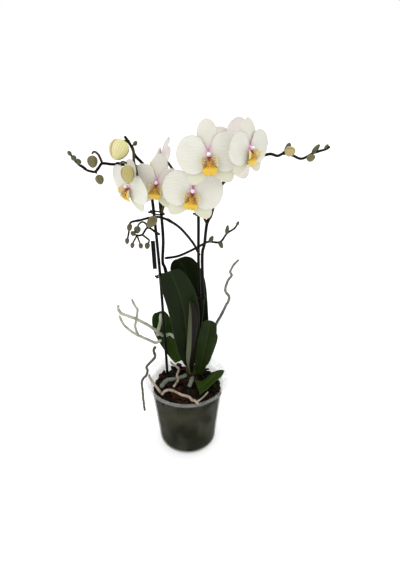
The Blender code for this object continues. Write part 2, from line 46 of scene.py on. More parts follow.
def smoothRoute(points, steps):
    # places on a Catmull-Rom curve through the route, both ends included
    knots = [Vector(place) for place in points]
    knots = [knots[0]] + knots + [knots[-1]]
    places = []
    for before, first, last, after in zip(knots, knots[1:], knots[2:], knots[3:]):
        for step in range(steps):
            t = step / steps
            places.append(0.5 * (
                2 * first + (last - before) * t
                + (2 * before - 5 * first + 4 * last - after) * t ** 2
                + (3 * first - before - 3 * last + after) * t ** 3
            ))
    places.append(knots[-1])
    return places


def newPiece(name, body, replaced, materials):
    # a bmesh becomes a finished piece that rides on the root and stands for its CAD nodes
    name = name.replace("_", "")
    mesh = bpy.data.meshes.new(name)
    body.to_mesh(mesh)
    body.free()
    mesh.shade_smooth()
    for material in materials:
        mesh.materials.append(material)
    piece = bpy.data.objects.new(name, mesh)
    bpy.context.scene.collection.objects.link(piece)
    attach(piece, "root")
    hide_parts(*replaced)
    return piece


def thicken(piece, thickness, backSlot=0):
    # a sheet gets its thickness both ways from its middle; its back takes another material
    shell = piece.modifiers.new("thickness", "SOLIDIFY")
    shell.thickness = thickness * mm
    shell.offset = 0
    shell.material_offset = backSlot
    shell.use_even_offset = False


def roundOff(piece):
    smooth = piece.modifiers.new("smooth", "SUBSURF")
    smooth.levels = 1
    smooth.render_levels = 1


def sweep(body, points, radii, sides=10, rough=0.0, grain=0.25, materialIndex=0):
    # a ring drawn out along the points with a round end at each side; rough makes it knobbly
    ends = [(0.35, 0.8), (0.78, 0.45)]  # share of the radius, and how far past the end
    stations = []
    first = (points[1] - points[0]).normalized()
    last = (points[-1] - points[-2]).normalized()
    for share, past in ends:
        stations.append((points[0] - first * radii[0] * past, radii[0] * share))
    stations += list(zip(points, radii))
    for share, past in reversed(ends):
        stations.append((points[-1] + last * radii[-1] * past, radii[-1] * share))
    ring = bmesh.ops.create_circle(body, cap_ends=False, segments=sides, radius=1)["verts"]
    edges = [edge for edge in body.edges if edge.verts[0] in ring and edge.verts[1] in ring]
    heading = Vector((0, 0, 1))
    turn = Quaternion()
    lastMatrix = Matrix.Identity(4)
    rings = []
    for index, (place, radius) in enumerate(stations):
        ahead = stations[min(index + 1, len(stations) - 1)][0] - stations[max(index - 1, 0)][0]
        ahead.normalize()
        turn = heading.rotation_difference(ahead) @ turn
        heading = ahead
        matrix = (
            Matrix.Translation(place * mm) @ turn.to_matrix().to_4x4()
            @ Matrix.Diagonal((radius * mm, radius * mm, radius * mm, 1))
        )
        if index:
            made = bmesh.ops.extrude_edge_only(body, edges=edges)["geom"]
            ring = [part for part in made if isinstance(part, bmesh.types.BMVert)]
            edges = [
                part for part in made
                if isinstance(part, bmesh.types.BMEdge) and part.verts[0] in ring and part.verts[1] in ring
            ]
        bmesh.ops.transform(body, matrix=matrix @ lastMatrix.inverted(), verts=ring)
        lastMatrix = matrix
        rings.append((ring, place * mm))
    for ring, centre in rings:
        for vert in ring:
            bump = noise.noise(vert.co / mm * grain) + 0.5 * noise.noise(vert.co / mm * grain * 3.1)
            vert.co += (vert.co - centre) * rough * bump
            for face in vert.link_faces:
                face.material_index = materialIndex
    for ring, _ in (rings[0], rings[-1]):
        bmesh.ops.pointmerge(body, verts=ring, merge_co=sum((vert.co for vert in ring), Vector()) / len(ring))


def taper(first, last, count):
    return [first + (last - first) * index / (count - 1) for index in range(count)]


def colourFaces(verts, materialIndex):
    for face in {face for vert in verts for face in vert.link_faces}:
        face.material_index = materialIndex


def closeUp(body):
    bmesh.ops.remove_doubles(body, verts=body.verts, dist=0.005 * mm)
    bmesh.ops.recalc_face_normals(body, faces=body.faces)


def addNode(tree, kind, inputs=None, **settings):
    # a shader node; an input that is a socket is linked, any other is set
    node = tree.nodes.new(kind)
    for key, value in settings.items():
        setattr(node, key, value)
    for key, value in (inputs or {}).items():
        if isinstance(value, bpy.types.NodeSocket):
            tree.links.new(value, node.inputs[key])
        else:
            node.inputs[key].default_value = value
    return node


def mixColour(tree, factor, first, second):
    node = addNode(tree, "ShaderNodeMix", data_type="RGBA")
    for index, value in ((0, factor), (6, first), (7, second)):
        if isinstance(value, bpy.types.NodeSocket):
            tree.links.new(value, node.inputs[index])
        else:
            node.inputs[index].default_value = (*value, 1) if index else value
    return node.outputs[2]


def rampValue(tree, value, low, high, first=0.0, last=1.0):
    node = addNode(tree, "ShaderNodeMapRange", {
        "Value": value, "From Min": low, "From Max": high, "To Min": first, "To Max": last})
    return node.outputs["Result"]


def maths(tree, operation, first, second=0.0):
    return addNode(tree, "ShaderNodeMath", {0: first, 1: second}, operation=operation).outputs[0]


def times(tree, value, amount):
    return maths(tree, "MULTIPLY", value, amount)


def axes(tree, vector):
    return addNode(tree, "ShaderNodeSeparateXYZ", {0: vector}).outputs


def clouds(tree, vector, scale, detail):
    node = addNode(tree, "ShaderNodeTexNoise", {"Vector": vector, "Scale": scale, "Detail": detail})
    return node.outputs["Fac"]


def newGroup(name, inputs, output):
    group = bpy.data.node_groups.new(name, "ShaderNodeTree")
    for socketName, value in inputs.items():
        kind = "NodeSocketVector" if value is None else "NodeSocketFloat"
        socket = group.interface.new_socket(socketName, in_out="INPUT", socket_type=kind)
        if value is not None:
            socket.default_value = value
    group.interface.new_socket(output, in_out="OUTPUT", socket_type="NodeSocketFloat")
    return group, group.nodes.new("NodeGroupInput").outputs, group.nodes.new("NodeGroupOutput").inputs


def makeMottle():
    # soft blotches: 0 below Low, 1 above High
    inputs = {"Vector": None, "Scale": 60.0, "Low": 0.4, "High": 0.6}
    group, given, result = newGroup("mottle", inputs, "Mask")
    broad = clouds(group, given["Vector"], given["Scale"], 5.0)
    group.links.new(rampValue(group, broad, given["Low"], given["High"]), result["Mask"])
    return group


def makeVeins():
    # fine lines that run along a blade, a little uneven: 1 on a vein, 0 between
    inputs = {"Vector": None, "Count": 20.0, "Warp": 0.6, "Sharpness": 4.0}
    group, given, result = newGroup("veins", inputs, "Mask")
    across = times(group, axes(group, given["Vector"])["X"], given["Count"])
    drifted = times(group, clouds(group, given["Vector"], 5.0, 3.0), given["Warp"])
    angle = times(group, maths(group, "ADD", across, drifted), math.pi)
    wave = maths(group, "ABSOLUTE", maths(group, "COSINE", angle))
    line = maths(group, "POWER", wave, given["Sharpness"])
    group.links.new(line, result["Mask"])
    return group


def makeGrain():
    # the small unevenness of a grown surface, as a height
    group, given, result = newGroup("grain", {"Vector": None, "Scale": 900.0, "Broad": 120.0}, "Height")
    small = clouds(group, given["Vector"], given["Scale"], 4.0)
    broad = clouds(group, given["Vector"], given["Broad"], 3.0)
    group.links.new(maths(group, "ADD", times(group, small, 0.4), broad), result["Height"])
    return group


mottle = makeMottle()
veins = makeVeins()
grain = makeGrain()


def useGroup(tree, group, inputs):
    return addNode(tree, "ShaderNodeGroup", inputs, node_tree=group).outputs[0]


def blotches(tree, place, scale, low, high):
    return useGroup(tree, mottle, {"Vector": place, "Scale": scale, "Low": low, "High": high})


def veinLines(tree, along, count, warp, sharpness):
    return useGroup(tree, veins, {"Vector": along, "Count": count, "Warp": warp, "Sharpness": sharpness})


def newMaterial(name, **fixed):
    # the material, its tree, its shader and the two places its patterns are read from
    material = bpy.data.materials.new(name)
    material.use_nodes = True
    tree = material.node_tree
    shader = tree.nodes["Principled BSDF"]
    for key, value in fixed.items():
        shader.inputs[key.replace("_", " ")].default_value = value
    place = tree.nodes.new("ShaderNodeTexCoord")
    return material, tree, shader, place.outputs["Object"], place.outputs["UV"]


def relief(tree, shader, place, fine, broad, strength, depth, ridges=None):
    # small unevenness, with ridges added where there are any; depth is in millimetres
    height = useGroup(tree, grain, {"Vector": place, "Scale": fine, "Broad": broad})
    if ridges is not None:
        height = maths(tree, "ADD", ridges, height)
    node = addNode(tree, "ShaderNodeBump", {"Height": height, "Strength": strength, "Distance": depth * mm})
    tree.links.new(node.outputs["Normal"], shader.inputs["Normal"])


def paint(tree, shader, colour, roughness=None):
    tree.links.new(colour, shader.inputs["Base Color"])
    if roughness is not None:
        tree.links.new(roughness, shader.inputs["Roughness"])


plastic = dict(
    dust=(0.060, 0.058, 0.036), algae=(0.005, 0.008, 0.0015), clear=(0.42, 0.43, 0.41),
    clearFrom=0.101, clearTo=0.108,  # heights in metres
    lowAlpha=0.26, rimAlpha=0.12, cloudAlpha=0.08, scuffAlpha=0.05,
)


def plasticPot():
    # milky clear plastic, clouded by algae and scuffs low down and clearer near the rim
    material, tree, shader, place, _ = newMaterial(
        "milkyPot", Roughness=0.42, IOR=1.46, Specular_IOR_Level=0.12)
    cloud = blotches(tree, place, scale=34, low=0.40, high=0.56)
    scuffs = blotches(tree, place, scale=210, low=0.4, high=0.7)
    rim = rampValue(tree, axes(tree, place)["Z"], plastic["clearFrom"], plastic["clearTo"])
    body = mixColour(tree, cloud, plastic["dust"], plastic["algae"])
    cloudHaze = times(tree, cloud, plastic["cloudAlpha"])
    haze = maths(tree, "ADD", cloudHaze, times(tree, scuffs, plastic["scuffAlpha"]))
    base = rampValue(tree, rim, 0, 1, plastic["lowAlpha"], plastic["rimAlpha"])
    tree.links.new(maths(tree, "ADD", haze, base), shader.inputs["Alpha"])
    paint(tree, shader, mixColour(tree, rim, body, plastic["clear"]))
    relief(tree, shader, place, fine=300, broad=60, strength=0.02, depth=0.1)
    return material


def barkMix(name, dark, brown, green, moss):
    # broken bark: near black, brown where freshly split, green with algae in patches
    material, tree, shader, place, _ = newMaterial(name, Roughness=0.9, Specular_IOR_Level=0.08)
    cells = addNode(tree, "ShaderNodeTexVoronoi", {"Vector": place, "Scale": 75.0})
    tint = addNode(tree, "ShaderNodeSeparateColor", {0: cells.outputs["Color"]}).outputs[0]
    flake = blotches(tree, place, scale=260, low=0.35, high=0.7)
    patch = blotches(tree, place, scale=26, low=moss[0], high=moss[1])
    woody = mixColour(tree, rampValue(tree, tint, 0.55, 0.95), dark, brown)
    streaked = mixColour(tree, flake, woody, tuple(value * 0.35 for value in dark))
    paint(tree, shader, mixColour(tree, patch, streaked, green))
    relief(tree, shader, place, fine=320, broad=120, strength=0.4, depth=0.5)
    return material


def leafSkin(name, deep, light, midrib, roughness=0.38):
    # waxy leaf with close parallel veins, a paler line down its middle, faint blotches and a painted
    # highlight along both edges
    material, tree, shader, place, along = newMaterial(name, Roughness=roughness, Specular_IOR_Level=0.1)
    lines = veinLines(tree, along, count=26, warp=0.5, sharpness=2)
    blotch = blotches(tree, place, scale=34, low=0.35, high=0.7)
    middle = maths(tree, "ABSOLUTE", maths(tree, "SUBTRACT", axes(tree, along)["X"], 0.5))
    rib = rampValue(tree, middle, 0.012, 0.03, 1.0, 0.0)
    # edge: a paler band along both margins, a painted highlight on the leaf edges
    edge = rampValue(tree, middle, 0.47, 0.5)
    colour = mixColour(tree, blotch, deep, light)
    colour = mixColour(tree, times(tree, lines, 0.35), colour, light)
    colour = mixColour(tree, times(tree, rib, 0.6), colour, midrib)
    colour = mixColour(tree, times(tree, edge, 0.5), colour, midrib)
    paint(tree, shader, colour, rampValue(tree, blotch, 0, 1, roughness - 0.06, roughness + 0.1))
    ridges = times(tree, lines, 0.5)
    relief(tree, shader, place, fine=800, broad=150, strength=0.25, depth=0.5, ridges=ridges)
    return material


def rootSkin(name, pale, shade, dirt, amount):
    # chalky root skin with greyer stretches and stains
    material, tree, shader, place, _ = newMaterial(name, Roughness=0.8, Specular_IOR_Level=0.2)
    stretch = blotches(tree, place, scale=70, low=0.4, high=0.62)
    stain = blotches(tree, place, scale=240, low=0.62 - amount, high=0.8 - amount)
    paint(tree, shader, mixColour(tree, stain, mixColour(tree, stretch, pale, shade), dirt))
    relief(tree, shader, place, fine=1500, broad=350, strength=0.6, depth=0.6)
    return material


def stemSkin(name, dark, green, low, high):
    # smooth stem, purple-brown with greener stretches and pale specks
    material, tree, shader, place, _ = newMaterial(name, Roughness=0.55, Specular_IOR_Level=0.07)
    stretch = blotches(tree, place, scale=45, low=low, high=high)
    speck = blotches(tree, place, scale=900, low=0.68, high=0.74)
    colour = mixColour(tree, stretch, dark, green)
    paint(tree, shader, mixColour(tree, times(tree, speck, 0.25), colour, (0.25, 0.22, 0.16)))
    relief(tree, shader, place, fine=900, broad=220, strength=0.3, depth=0.4)
    return material


def budSkin(name, light, flush, seam):
    # tight bud: its skin darkens along the seams where the sepals meet
    material, tree, shader, place, along = newMaterial(
        name, Roughness=0.45, Coat_Weight=0.1, Coat_Roughness=0.4)
    wave = maths(tree, "ABSOLUTE", maths(tree, "SINE", times(tree, axes(tree, along)["X"], 3 * math.pi)))
    line = rampValue(tree, wave, 0.04, 0.28, 1.0, 0.0)
    lines = veinLines(tree, along, count=24, warp=0.8, sharpness=3)
    blotch = blotches(tree, place, scale=110, low=0.38, high=0.64)
    colour = mixColour(tree, blotch, light, flush)
    colour = mixColour(tree, times(tree, lines, 0.22), colour, seam)
    paint(tree, shader, mixColour(tree, times(tree, line, 0.75), colour, seam))
    relief(tree, shader, place, fine=900, broad=260, strength=0.25, depth=0.4)
    return material


def tepalSkin(name, white, vein, flush, reach, tip=None):
    # thin petal tissue: faint fanned veins and a flush of colour from the base
    material, tree, shader, place, along = newMaterial(
        name, Roughness=0.55, Sheen_Weight=0.15, Sheen_Roughness=0.5)
    outward = axes(tree, along)["Y"]
    lines = veinLines(tree, along, count=11, warp=2.4, sharpness=5)
    cloud = blotches(tree, place, scale=90, low=0.35, high=0.7)
    near = rampValue(tree, outward, reach[0], reach[1], 1.0, 0.0)
    fade = maths(tree, "MULTIPLY", near, rampValue(tree, cloud, 0, 1, 0.75, 1.0))
    colour = mixColour(tree, times(tree, lines, 0.3), white, vein)
    colour = mixColour(tree, times(tree, cloud, 0.3), colour, vein)
    colour = mixColour(tree, fade, colour, flush)
    if tip is not None:
        far = rampValue(tree, outward, 0.9, 1.0)
        colour = mixColour(tree, times(tree, far, 0.6), colour, tip)
    paint(tree, shader, colour)
    ridges = times(tree, lines, 0.7)
    relief(tree, shader, place, fine=1600, broad=260, strength=0.12, depth=0.2, ridges=ridges)
    return material


def lipSkin(name, base, stripe, margin, count, reach):
    # glossy lip: stripes run out from the throat and fade into the margin's colour
    material, tree, shader, place, along = newMaterial(
        name, Roughness=0.38, Coat_Weight=0.2, Coat_Roughness=0.3)
    outward = axes(tree, along)["Y"]
    lines = veinLines(tree, along, count, warp=1.6, sharpness=3)
    speck = blotches(tree, place, scale=420, low=0.45, high=0.62)
    near = rampValue(tree, outward, reach[0], reach[1], 1.0, 0.0)
    far = rampValue(tree, outward, 0.72, 1.0)
    marked = maths(tree, "MULTIPLY", near, maths(tree, "MAXIMUM", lines, times(tree, speck, 0.5)))
    paint(tree, shader, mixColour(tree, marked, mixColour(tree, far, base, margin), stripe))
    relief(tree, shader, place, fine=1600, broad=400, strength=0.3, depth=0.3)
    return material


def columnSkin(name, white, spots, scale, low, high):
    # waxy column, spotted with magenta
    material, tree, shader, place, _ = newMaterial(name, Roughness=0.35, Coat_Weight=0.2)
    paint(tree, shader, mixColour(tree, blotches(tree, place, scale, low, high), white, spots))
    relief(tree, shader, place, fine=1500, broad=400, strength=0.2, depth=0.3)
    return material


def blackPlastic(name, roughness):
    # moulded black plastic with faint dust and scratches
    material, tree, shader, place, _ = newMaterial(name, Roughness=roughness, Specular_IOR_Level=0.08)
    dust = blotches(tree, place, scale=300, low=0.5, high=0.8)
    paint(tree, shader, mixColour(tree, dust, (0.003, 0.003, 0.003), (0.010, 0.010, 0.009)),
          rampValue(tree, dust, 0, 1, roughness, roughness + 0.2))
    relief(tree, shader, place, fine=1200, broad=200, strength=0.2, depth=0.3)
    return material


pot = dict(
    height=114, lipRadius=60, lipDepth=5, lipWidth=2.8, neckHeight=108, neckRadius=54,
    shoulderHeight=88, shoulderRadius=50.5, lowRadius=42.8, footRadius=35, footRound=12,
    wall=1.2, floor=1.6, around=120, drains=8, drainRing=27, drainRadius=4,
)


def innerRadius(height):
    # the pot's inside radius at a height
    if height > pot["shoulderHeight"]:
        share = (height - pot["shoulderHeight"]) / (pot["neckHeight"] + 1 - pot["shoulderHeight"])
        return pot["shoulderRadius"] - pot["wall"] + (pot["neckRadius"] - pot["shoulderRadius"]) * share
    share = (height - pot["footRound"]) / (pot["shoulderHeight"] - pot["footRound"])
    return pot["lowRadius"] - pot["wall"] + (pot["shoulderRadius"] - pot["lowRadius"]) * share


def turned(profile, around):
    # a profile of (radius, height) turned about the pot's axis
    body = bmesh.new()
    corners = [body.verts.new((radius * mm, 0, height * mm)) for radius, height in profile]
    edges = [body.edges.new(pair) for pair in zip(corners, corners[1:])]
    bmesh.ops.spin(body, geom=corners + edges, axis=(0, 0, 1), cent=(0, 0, 0),
                   angle=2 * math.pi, steps=around, use_merge=True)
    closeUp(body)
    return body


def arcRound(centre, radius, first, last, steps):
    # places on an arc in the profile's plane, angles in degrees
    places = []
    for step in range(steps + 1):
        angle = math.radians(first + (last - first) * step / steps)
        places.append((centre[0] + math.cos(angle) * radius, centre[1] + math.sin(angle) * radius))
    return places


def makePot():
    rise = pot["footRound"]
    inner = pot["lipRadius"] - pot["lipWidth"]
    profile = [(0, pot["floor"]), (pot["footRadius"] - 3, pot["floor"])]
    profile += arcRound((pot["lowRadius"] - pot["wall"] - 8, pot["floor"] + 8), 8, -80, -8, 6)
    profile += [(innerRadius(height), height) for height in (rise + 1, 30, 50, 70, 82)]
    profile += [(innerRadius(pot["shoulderHeight"]), pot["shoulderHeight"]), (innerRadius(100), 100)]
    profile += [(pot["neckRadius"] - pot["wall"], pot["neckHeight"] + 1), (inner, pot["neckHeight"] + 3)]
    profile += arcRound((inner + 1, pot["height"] - 1), 1, 180, 90, 3)
    profile += arcRound((pot["lipRadius"] - 1, pot["height"] - 1), 1, 90, 0, 3)
    profile += [(pot["lipRadius"], pot["height"] - pot["lipDepth"] + 1)]
    profile += [(pot["lipRadius"] - 0.8, pot["height"] - pot["lipDepth"] + 0.2)]
    profile += [(pot["neckRadius"] + 0.6, pot["neckHeight"])]
    profile += [(pot["neckRadius"] - 0.4, pot["neckHeight"] - 2)]
    outside = [(height, innerRadius(height) + pot["wall"]) for height in (100, 88, 70, 50, 30, rise + 4)]
    profile += [(radius, height) for height, radius in outside]
    profile += arcRound((pot["lowRadius"] - 9, 9), 9, 12, -72, 8)
    profile += [(pot["footRadius"] - 1, 0), (pot["footRadius"] - 6, 0), (0, 0)]
    body = turned(profile, pot["around"])
    piece = newPiece("nurseryPot", body, ["pot"], [plasticPot()])
    holes = bmesh.new()
    for index in range(pot["drains"]):
        angle = 2 * math.pi * index / pot["drains"]
        place = Vector((math.cos(angle), math.sin(angle), 0)) * pot["drainRing"] * mm
        radius = pot["drainRadius"] * mm
        bmesh.ops.create_cone(holes, cap_ends=True, segments=20, radius1=radius, radius2=radius,
                              depth=8 * mm, matrix=Matrix.Translation(place))
    carve(piece, holes)


def carve(piece, holes):
    # cut the holes out and keep the result as the piece's own mesh
    mesh = bpy.data.meshes.new("holes")
    holes.to_mesh(mesh)
    holes.free()
    cutter = bpy.data.objects.new("holes", mesh)
    bpy.context.scene.collection.objects.link(cutter)
    cut = piece.modifiers.new("holes", "BOOLEAN")
    cut.operation = "DIFFERENCE"
    cut.object = cutter
    view = bpy.context.evaluated_depsgraph_get()
    result = bpy.data.meshes.new_from_object(piece.evaluated_get(view))
    piece.modifiers.clear()
    piece.data = result
    bpy.data.objects.remove(cutter, do_unlink=True)


bark = dict(top=94, gap=0.7, around=96, chips=230, chipSize=(5, 12), chipTop=97.5, reach=47, seed=11)
bedColours = dict(dark=(0.010, 0.009, 0.006), brown=(0.034, 0.026, 0.014), green=(0.024, 0.030, 0.008),
                  moss=(0.46, 0.64))
chipColours = dict(dark=(0.012, 0.007, 0.005), brown=(0.075, 0.026, 0.012), green=(0.022, 0.026, 0.006),
                   moss=(0.58, 0.7))


def makeBark():
    gap = bark["gap"]
    side = [(innerRadius(height) - gap, height) for height in (14, 25, 37, 50, 62, 75, 86, bark["top"] - 1)]
    top = [(radius, bark["top"]) for radius in (46, 40, 33, 26, 19, 12, 6)]
    foot = [(0, pot["floor"] + gap), (20, pot["floor"] + gap)]
    foot += arcRound((pot["lowRadius"] - pot["wall"] - 8, pot["floor"] + 8), 8 - gap, -80, -8, 5)
    body = turned(foot + side + top + [(0, bark["top"])], bark["around"])
    for vert in body.verts:
        flat = Vector((vert.co.x, vert.co.y, 0))
        lump = noise.voronoi(vert.co * 90)[0][0]
        if vert.co.z > (bark["top"] - 2) * mm:
            vert.co.z += (lump * 5 - 1.5) * mm
        else:
            vert.co -= flat.normalized() * lump * 0.8 * mm
    newPiece("barkBed", body, ["bark"], [barkMix("barkBedMix", **bedColours)])
    makeChips()


def makeChips():
    # loose chips of broken bark lying in every direction over the bed
    dice = random.Random(bark["seed"])
    noise.seed_set(bark["seed"])
    body = bmesh.new()
    for index in range(bark["chips"]):
        spread = bark["reach"] * math.sqrt(dice.random())
        angle = dice.random() * 2 * math.pi
        size = dice.uniform(*bark["chipSize"])
        height = bark["chipTop"] + dice.uniform(-3, 3)
        place = Vector((math.cos(angle) * spread, math.sin(angle) * spread, height))
        lean = Matrix.Rotation(dice.uniform(0, 6.3), 4, "Z")
        lean = lean @ Matrix.Rotation(dice.uniform(-0.7, 0.7), 4, "X")
        shape = Matrix.Diagonal((size, size * dice.uniform(0.45, 0.9), size * dice.uniform(0.22, 0.5), 1))
        made = bmesh.ops.create_cube(body, size=mm)["verts"]
        edges = {edge for vert in made for edge in vert.link_edges}
        bevelled = bmesh.ops.bevel(body, geom=list(made) + list(edges), offset=0.22 * mm,
                                   offset_type="OFFSET", affect="EDGES", segments=1, profile=0.5, material=-1)
        chip = list(set(bevelled["verts"]))  # each corner once
        bmesh.ops.transform(body, matrix=Matrix.Translation(place * mm) @ lean @ shape, verts=chip)
        for vert in chip:
            vert.co += noise.noise_vector(vert.co / mm * 0.35 + Vector((index, 0, 0))) * 1.3 * mm
    newPiece("barkChips", body, ["bark"], [barkMix("barkChipMix", **chipColours)])


crown = dict(centre=(7, 26, 106), radii=(9, 8, 11))


def makeCrown():
    # short stem wrapped in old leaf sheaths: ridged rings that lap over one another
    body = bmesh.new()
    made = bmesh.ops.create_uvsphere(body, u_segments=40, v_segments=30, radius=1)["verts"]
    for vert in made:
        rings = 1 + 0.06 * math.sin(vert.co.z * 14) + 0.05 * noise.noise(vert.co * 5)
        vert.co = (Vector(crown["centre"]) + Vector(
            radius * value * rings for radius, value in zip(crown["radii"], vert.co))) * mm
    closeUp(body)
    newPiece("crownSheaths", body, ["crown"], [
        barkMix("sheathSkin", (0.05, 0.045, 0.015), (0.12, 0.08, 0.03), (0.04, 0.07, 0.015), (0.4, 0.6))])


print("pot and bark")
makePot()
makeBark()
makeCrown()


# each leaf: midrib, half widths at its widest, base and tip, where it faces, fold in degrees
leaves = {
    "leaf_back": dict(midrib=[(11, 38, 108), (14, 51, 140), (8, 58, 190), (3, 60, 240), (-9, 60, 278)],
        halfWidth=24, base=5, tip=7, facing=(0, -1, 0.1), fold=8),
    "leaf_front": dict(midrib=[(3, 18, 119), (1, 22, 150), (-3, 20, 210), (-9, 17, 245), (-21, 14, 281)],
        halfWidth=22, base=4, tip=9, facing=(0, -1, 0.1), fold=5),
    "leaf_folded": dict(midrib=[(5, 11, 112), (0, 9, 140), (2, 7, 180), (6, 8, 237)], halfWidth=14, base=4,
        tip=1.5, facing=(0.92, -0.38, 0.1), fold=51, blunt=0.8),
    "leaf_right": dict(midrib=[(17, 13, 108), (23, 16, 140), (29, 16, 170), (34, 15, 202)], halfWidth=13,
        base=4, tip=5, facing=(-0.2, -0.95, 0.1), fold=14),
    "leaf_small": dict(midrib=[(27, 27, 116), (32, 28, 140), (41, 28, 173)], halfWidth=8, base=3, tip=2,
        facing=(-0.3, -0.95, 0.2), fold=20),
    "leaf_cut": dict(midrib=[(15.5, -16, 107), (25, -13, 109), (38, -1, 113), (54, 12, 117)], halfWidth=8,
        base=17, tip=0.6, facing=(-0.1, -0.1, 0.98), fold=6, blunt=1.2),
    "leaf_left": dict(midrib=[(-11, 34, 117), (-19, 44, 131), (-35, 52, 160), (-42, 56, 191)], halfWidth=15,
        base=8, tip=5, facing=(0.2, -0.95, 0.25), fold=10),
}

leafShape = dict(thickness=1.6, across=12, along=36, wave=0.7, opens=0.6, closes=0.72,
                 groove=0.8, grooveWidth=1.6)
darkBack = leafSkin("leafUnder", (0.045, 0.060, 0.020), (0.075, 0.095, 0.035), (0.09, 0.10, 0.05), 0.5)
leafColours = {  # finish, then its deep, light and midrib colours; the midrib colour also paints the highlight along the edges
    "leaf_back": ("leafDeep", (0.0025, 0.006, 0.0005), (0.0055, 0.011, 0.0008), (0.014, 0.026, 0.004)),
    "leaf_front": ("leafDark", (0.003, 0.0075, 0.0005), (0.007, 0.015, 0.0008), (0.018, 0.036, 0.004)),
    "leaf_folded": ("leafMaroon", (0.006, 0.004, 0.003), (0.014, 0.009, 0.006), (0.025, 0.02, 0.012)),
    "leaf_right": ("leafMid", (0.006, 0.015, 0.0015), (0.018, 0.031, 0.003), (0.042, 0.050, 0.008)),
    "leaf_small": ("leafSmall", (0.010, 0.026, 0.006), (0.020, 0.045, 0.010), (0.04, 0.06, 0.02)),
    "leaf_cut": ("leafCutGreen", (0.014, 0.030, 0.003), (0.026, 0.048, 0.005), (0.035, 0.055, 0.009)),
    "leaf_left": ("leafBright", (0.009, 0.026, 0.001), (0.022, 0.050, 0.002), (0.05, 0.055, 0.010)),
}
leafSkins = {leafName: (leafSkin(*colours), darkBack) for leafName, colours in leafColours.items()}
paleBack = leafSkin("leafPaleBack", (0.055, 0.065, 0.030), (0.09, 0.10, 0.055), (0.12, 0.13, 0.08), 0.5)
leafSkins["leaf_folded"] = (leafSkins["leaf_folded"][0], paleBack)


def makeLeaf(name, midrib, halfWidth, base, tip, facing, fold, blunt=0.5):
    # a strap drawn along its midrib, folded up along the middle and rounded at the tip
    spine = smoothRoute(midrib, 12)
    facing = Vector(facing).normalized()
    lift = math.sin(math.radians(fold))
    spread = math.cos(math.radians(fold))
    body = bmesh.new()
    body.loops.layers.uv.new("along")
    bmesh.ops.create_grid(body, x_segments=leafShape["across"], y_segments=leafShape["along"],
                          size=1, calc_uvs=True)
    for vert in body.verts:
        across = vert.co.x
        along = math.sin((vert.co.y + 1) / 2 * math.pi / 2)
        spot = along * (len(spine) - 1)
        index = min(int(spot), len(spine) - 2)
        place = spine[index].lerp(spine[index + 1], spot - index)
        forward = (spine[index + 1] - spine[index]).normalized()
        aside = forward.cross(facing).normalized()
        upper = aside.cross(forward)
        opened = min(1.0, along / leafShape["opens"])
        width = base + (halfWidth - base) * opened * (2 - opened)
        closing = max(0.0, (along - leafShape["closes"]) / (1 - leafShape["closes"]))
        width = tip + (width - tip) * (1 - closing ** 2) ** blunt
        reach = width * across
        groove = leafShape["groove"] * math.exp(-(reach / leafShape["grooveWidth"]) ** 2)
        ripple = leafShape["wave"] * across ** 2 * math.sin(along * 9 + across * 2 + len(name))
        height = (math.sqrt(reach ** 2 + 4) - 2) * lift - groove + ripple
        vert.co = (place + aside * reach * spread + upper * height) * mm
    bmesh.ops.recalc_face_normals(body, faces=body.faces)
    if sum((face.normal.dot(facing) for face in body.faces)) < 0:
        bmesh.ops.reverse_faces(body, faces=body.faces)
    piece = newPiece(name + "Blade", body, [name], leafSkins[name])
    thicken(piece, leafShape["thickness"], 1)
    roundOff(piece)


print("leaves")
for leafName, leaf in leaves.items():
    makeLeaf(leafName, **leaf)


# each root and then its forks: (route, first radius, last radius)
roots = {
    "root_left": [
        ([(0, 37, 124), (-4, 40, 138), (-14, 39, 152), (-25, 41, 161), (-36, 40, 160), (-51, 27, 183),
          (-70, 15, 205), (-88, 8, 218), (-92, 6, 225), (-92, 4, 233)], 2.7, 1.9),
        ([(-43, 34, 165), (-43, 36, 169), (-39, 41, 183), (-38, 42, 195)], 2.6, 2.3),
    ],
    "root_left_low": [
        ([(-39, 34, 155), (-47, 30, 154), (-60, 22, 167), (-69, 14, 178), (-78, 7, 190), (-86, 1, 205),
          (-90, -4, 222)], 2.2, 1.6),
        ([(-69, 14, 178), (-73, 19, 189), (-72, 22, 197), (-69, 24, 214), (-72, 25, 220),
          (-76, 26, 230)], 1.9, 1.5),
    ],
    "root_over_rim": [([(-47, 27, 148), (-49, 22, 145), (-47, 14, 139), (-58, 4, 131), (-57, 0, 126),
        (-59, -5, 121), (-65, -8, 113), (-65, -8, 93), (-65, -8, 77), (-64, -7, 57)], 2.1, 1.6)],
    "root_rim_pale": [([(-55, -2, 119), (-52, -5, 113), (-43, -15, 107), (-38, -22, 104.5)], 1.6, 2.0)],
    "root_bed_back": [([(-26, 43.5, 108), (-22, 36, 109), (-13, 24, 110), (-15, 9, 110), (-13, -1, 109.5),
        (-19, -13, 107)], 1.5, 1.7)],
    "root_bed_front": [
        ([(-35, -28, 106), (-30, -22, 107), (-22, -21, 107), (-8, -31, 108), (4, -38, 109), (8, -46, 111),
          (11, -51, 115), (14, -57, 117.2), (16, -60, 117)], 2.2, 1.5),
        ([(14, -57, 117.2), (18, -51, 115), (21, -42, 110), (26, -32, 107), (30, -24, 106)], 1.2, 1.0),
    ],
    "root_bed_thick": [([(-37, -9, 104.5), (-30, 3, 104.5), (-18, 7, 104.8), (-8, 9.5, 106),
        (-2, 11, 108.5)], 3.3, 2.9)],
    "root_bed_short": [([(7.5, 8, 105.5), (6, 1, 105), (4, -8, 104.5)], 3.3, 3.0)],
    "root_right": [([(26, 42, 113), (34, 40, 145), (40, 37, 175), (48, 33, 197), (54, 30, 214),
        (60, 28, 232), (54, 27, 244), (57, 26, 260), (62, 25, 269), (60, 25, 275), (64, 24, 285),
        (70, 23, 293)], 2.4, 1.4)],
}

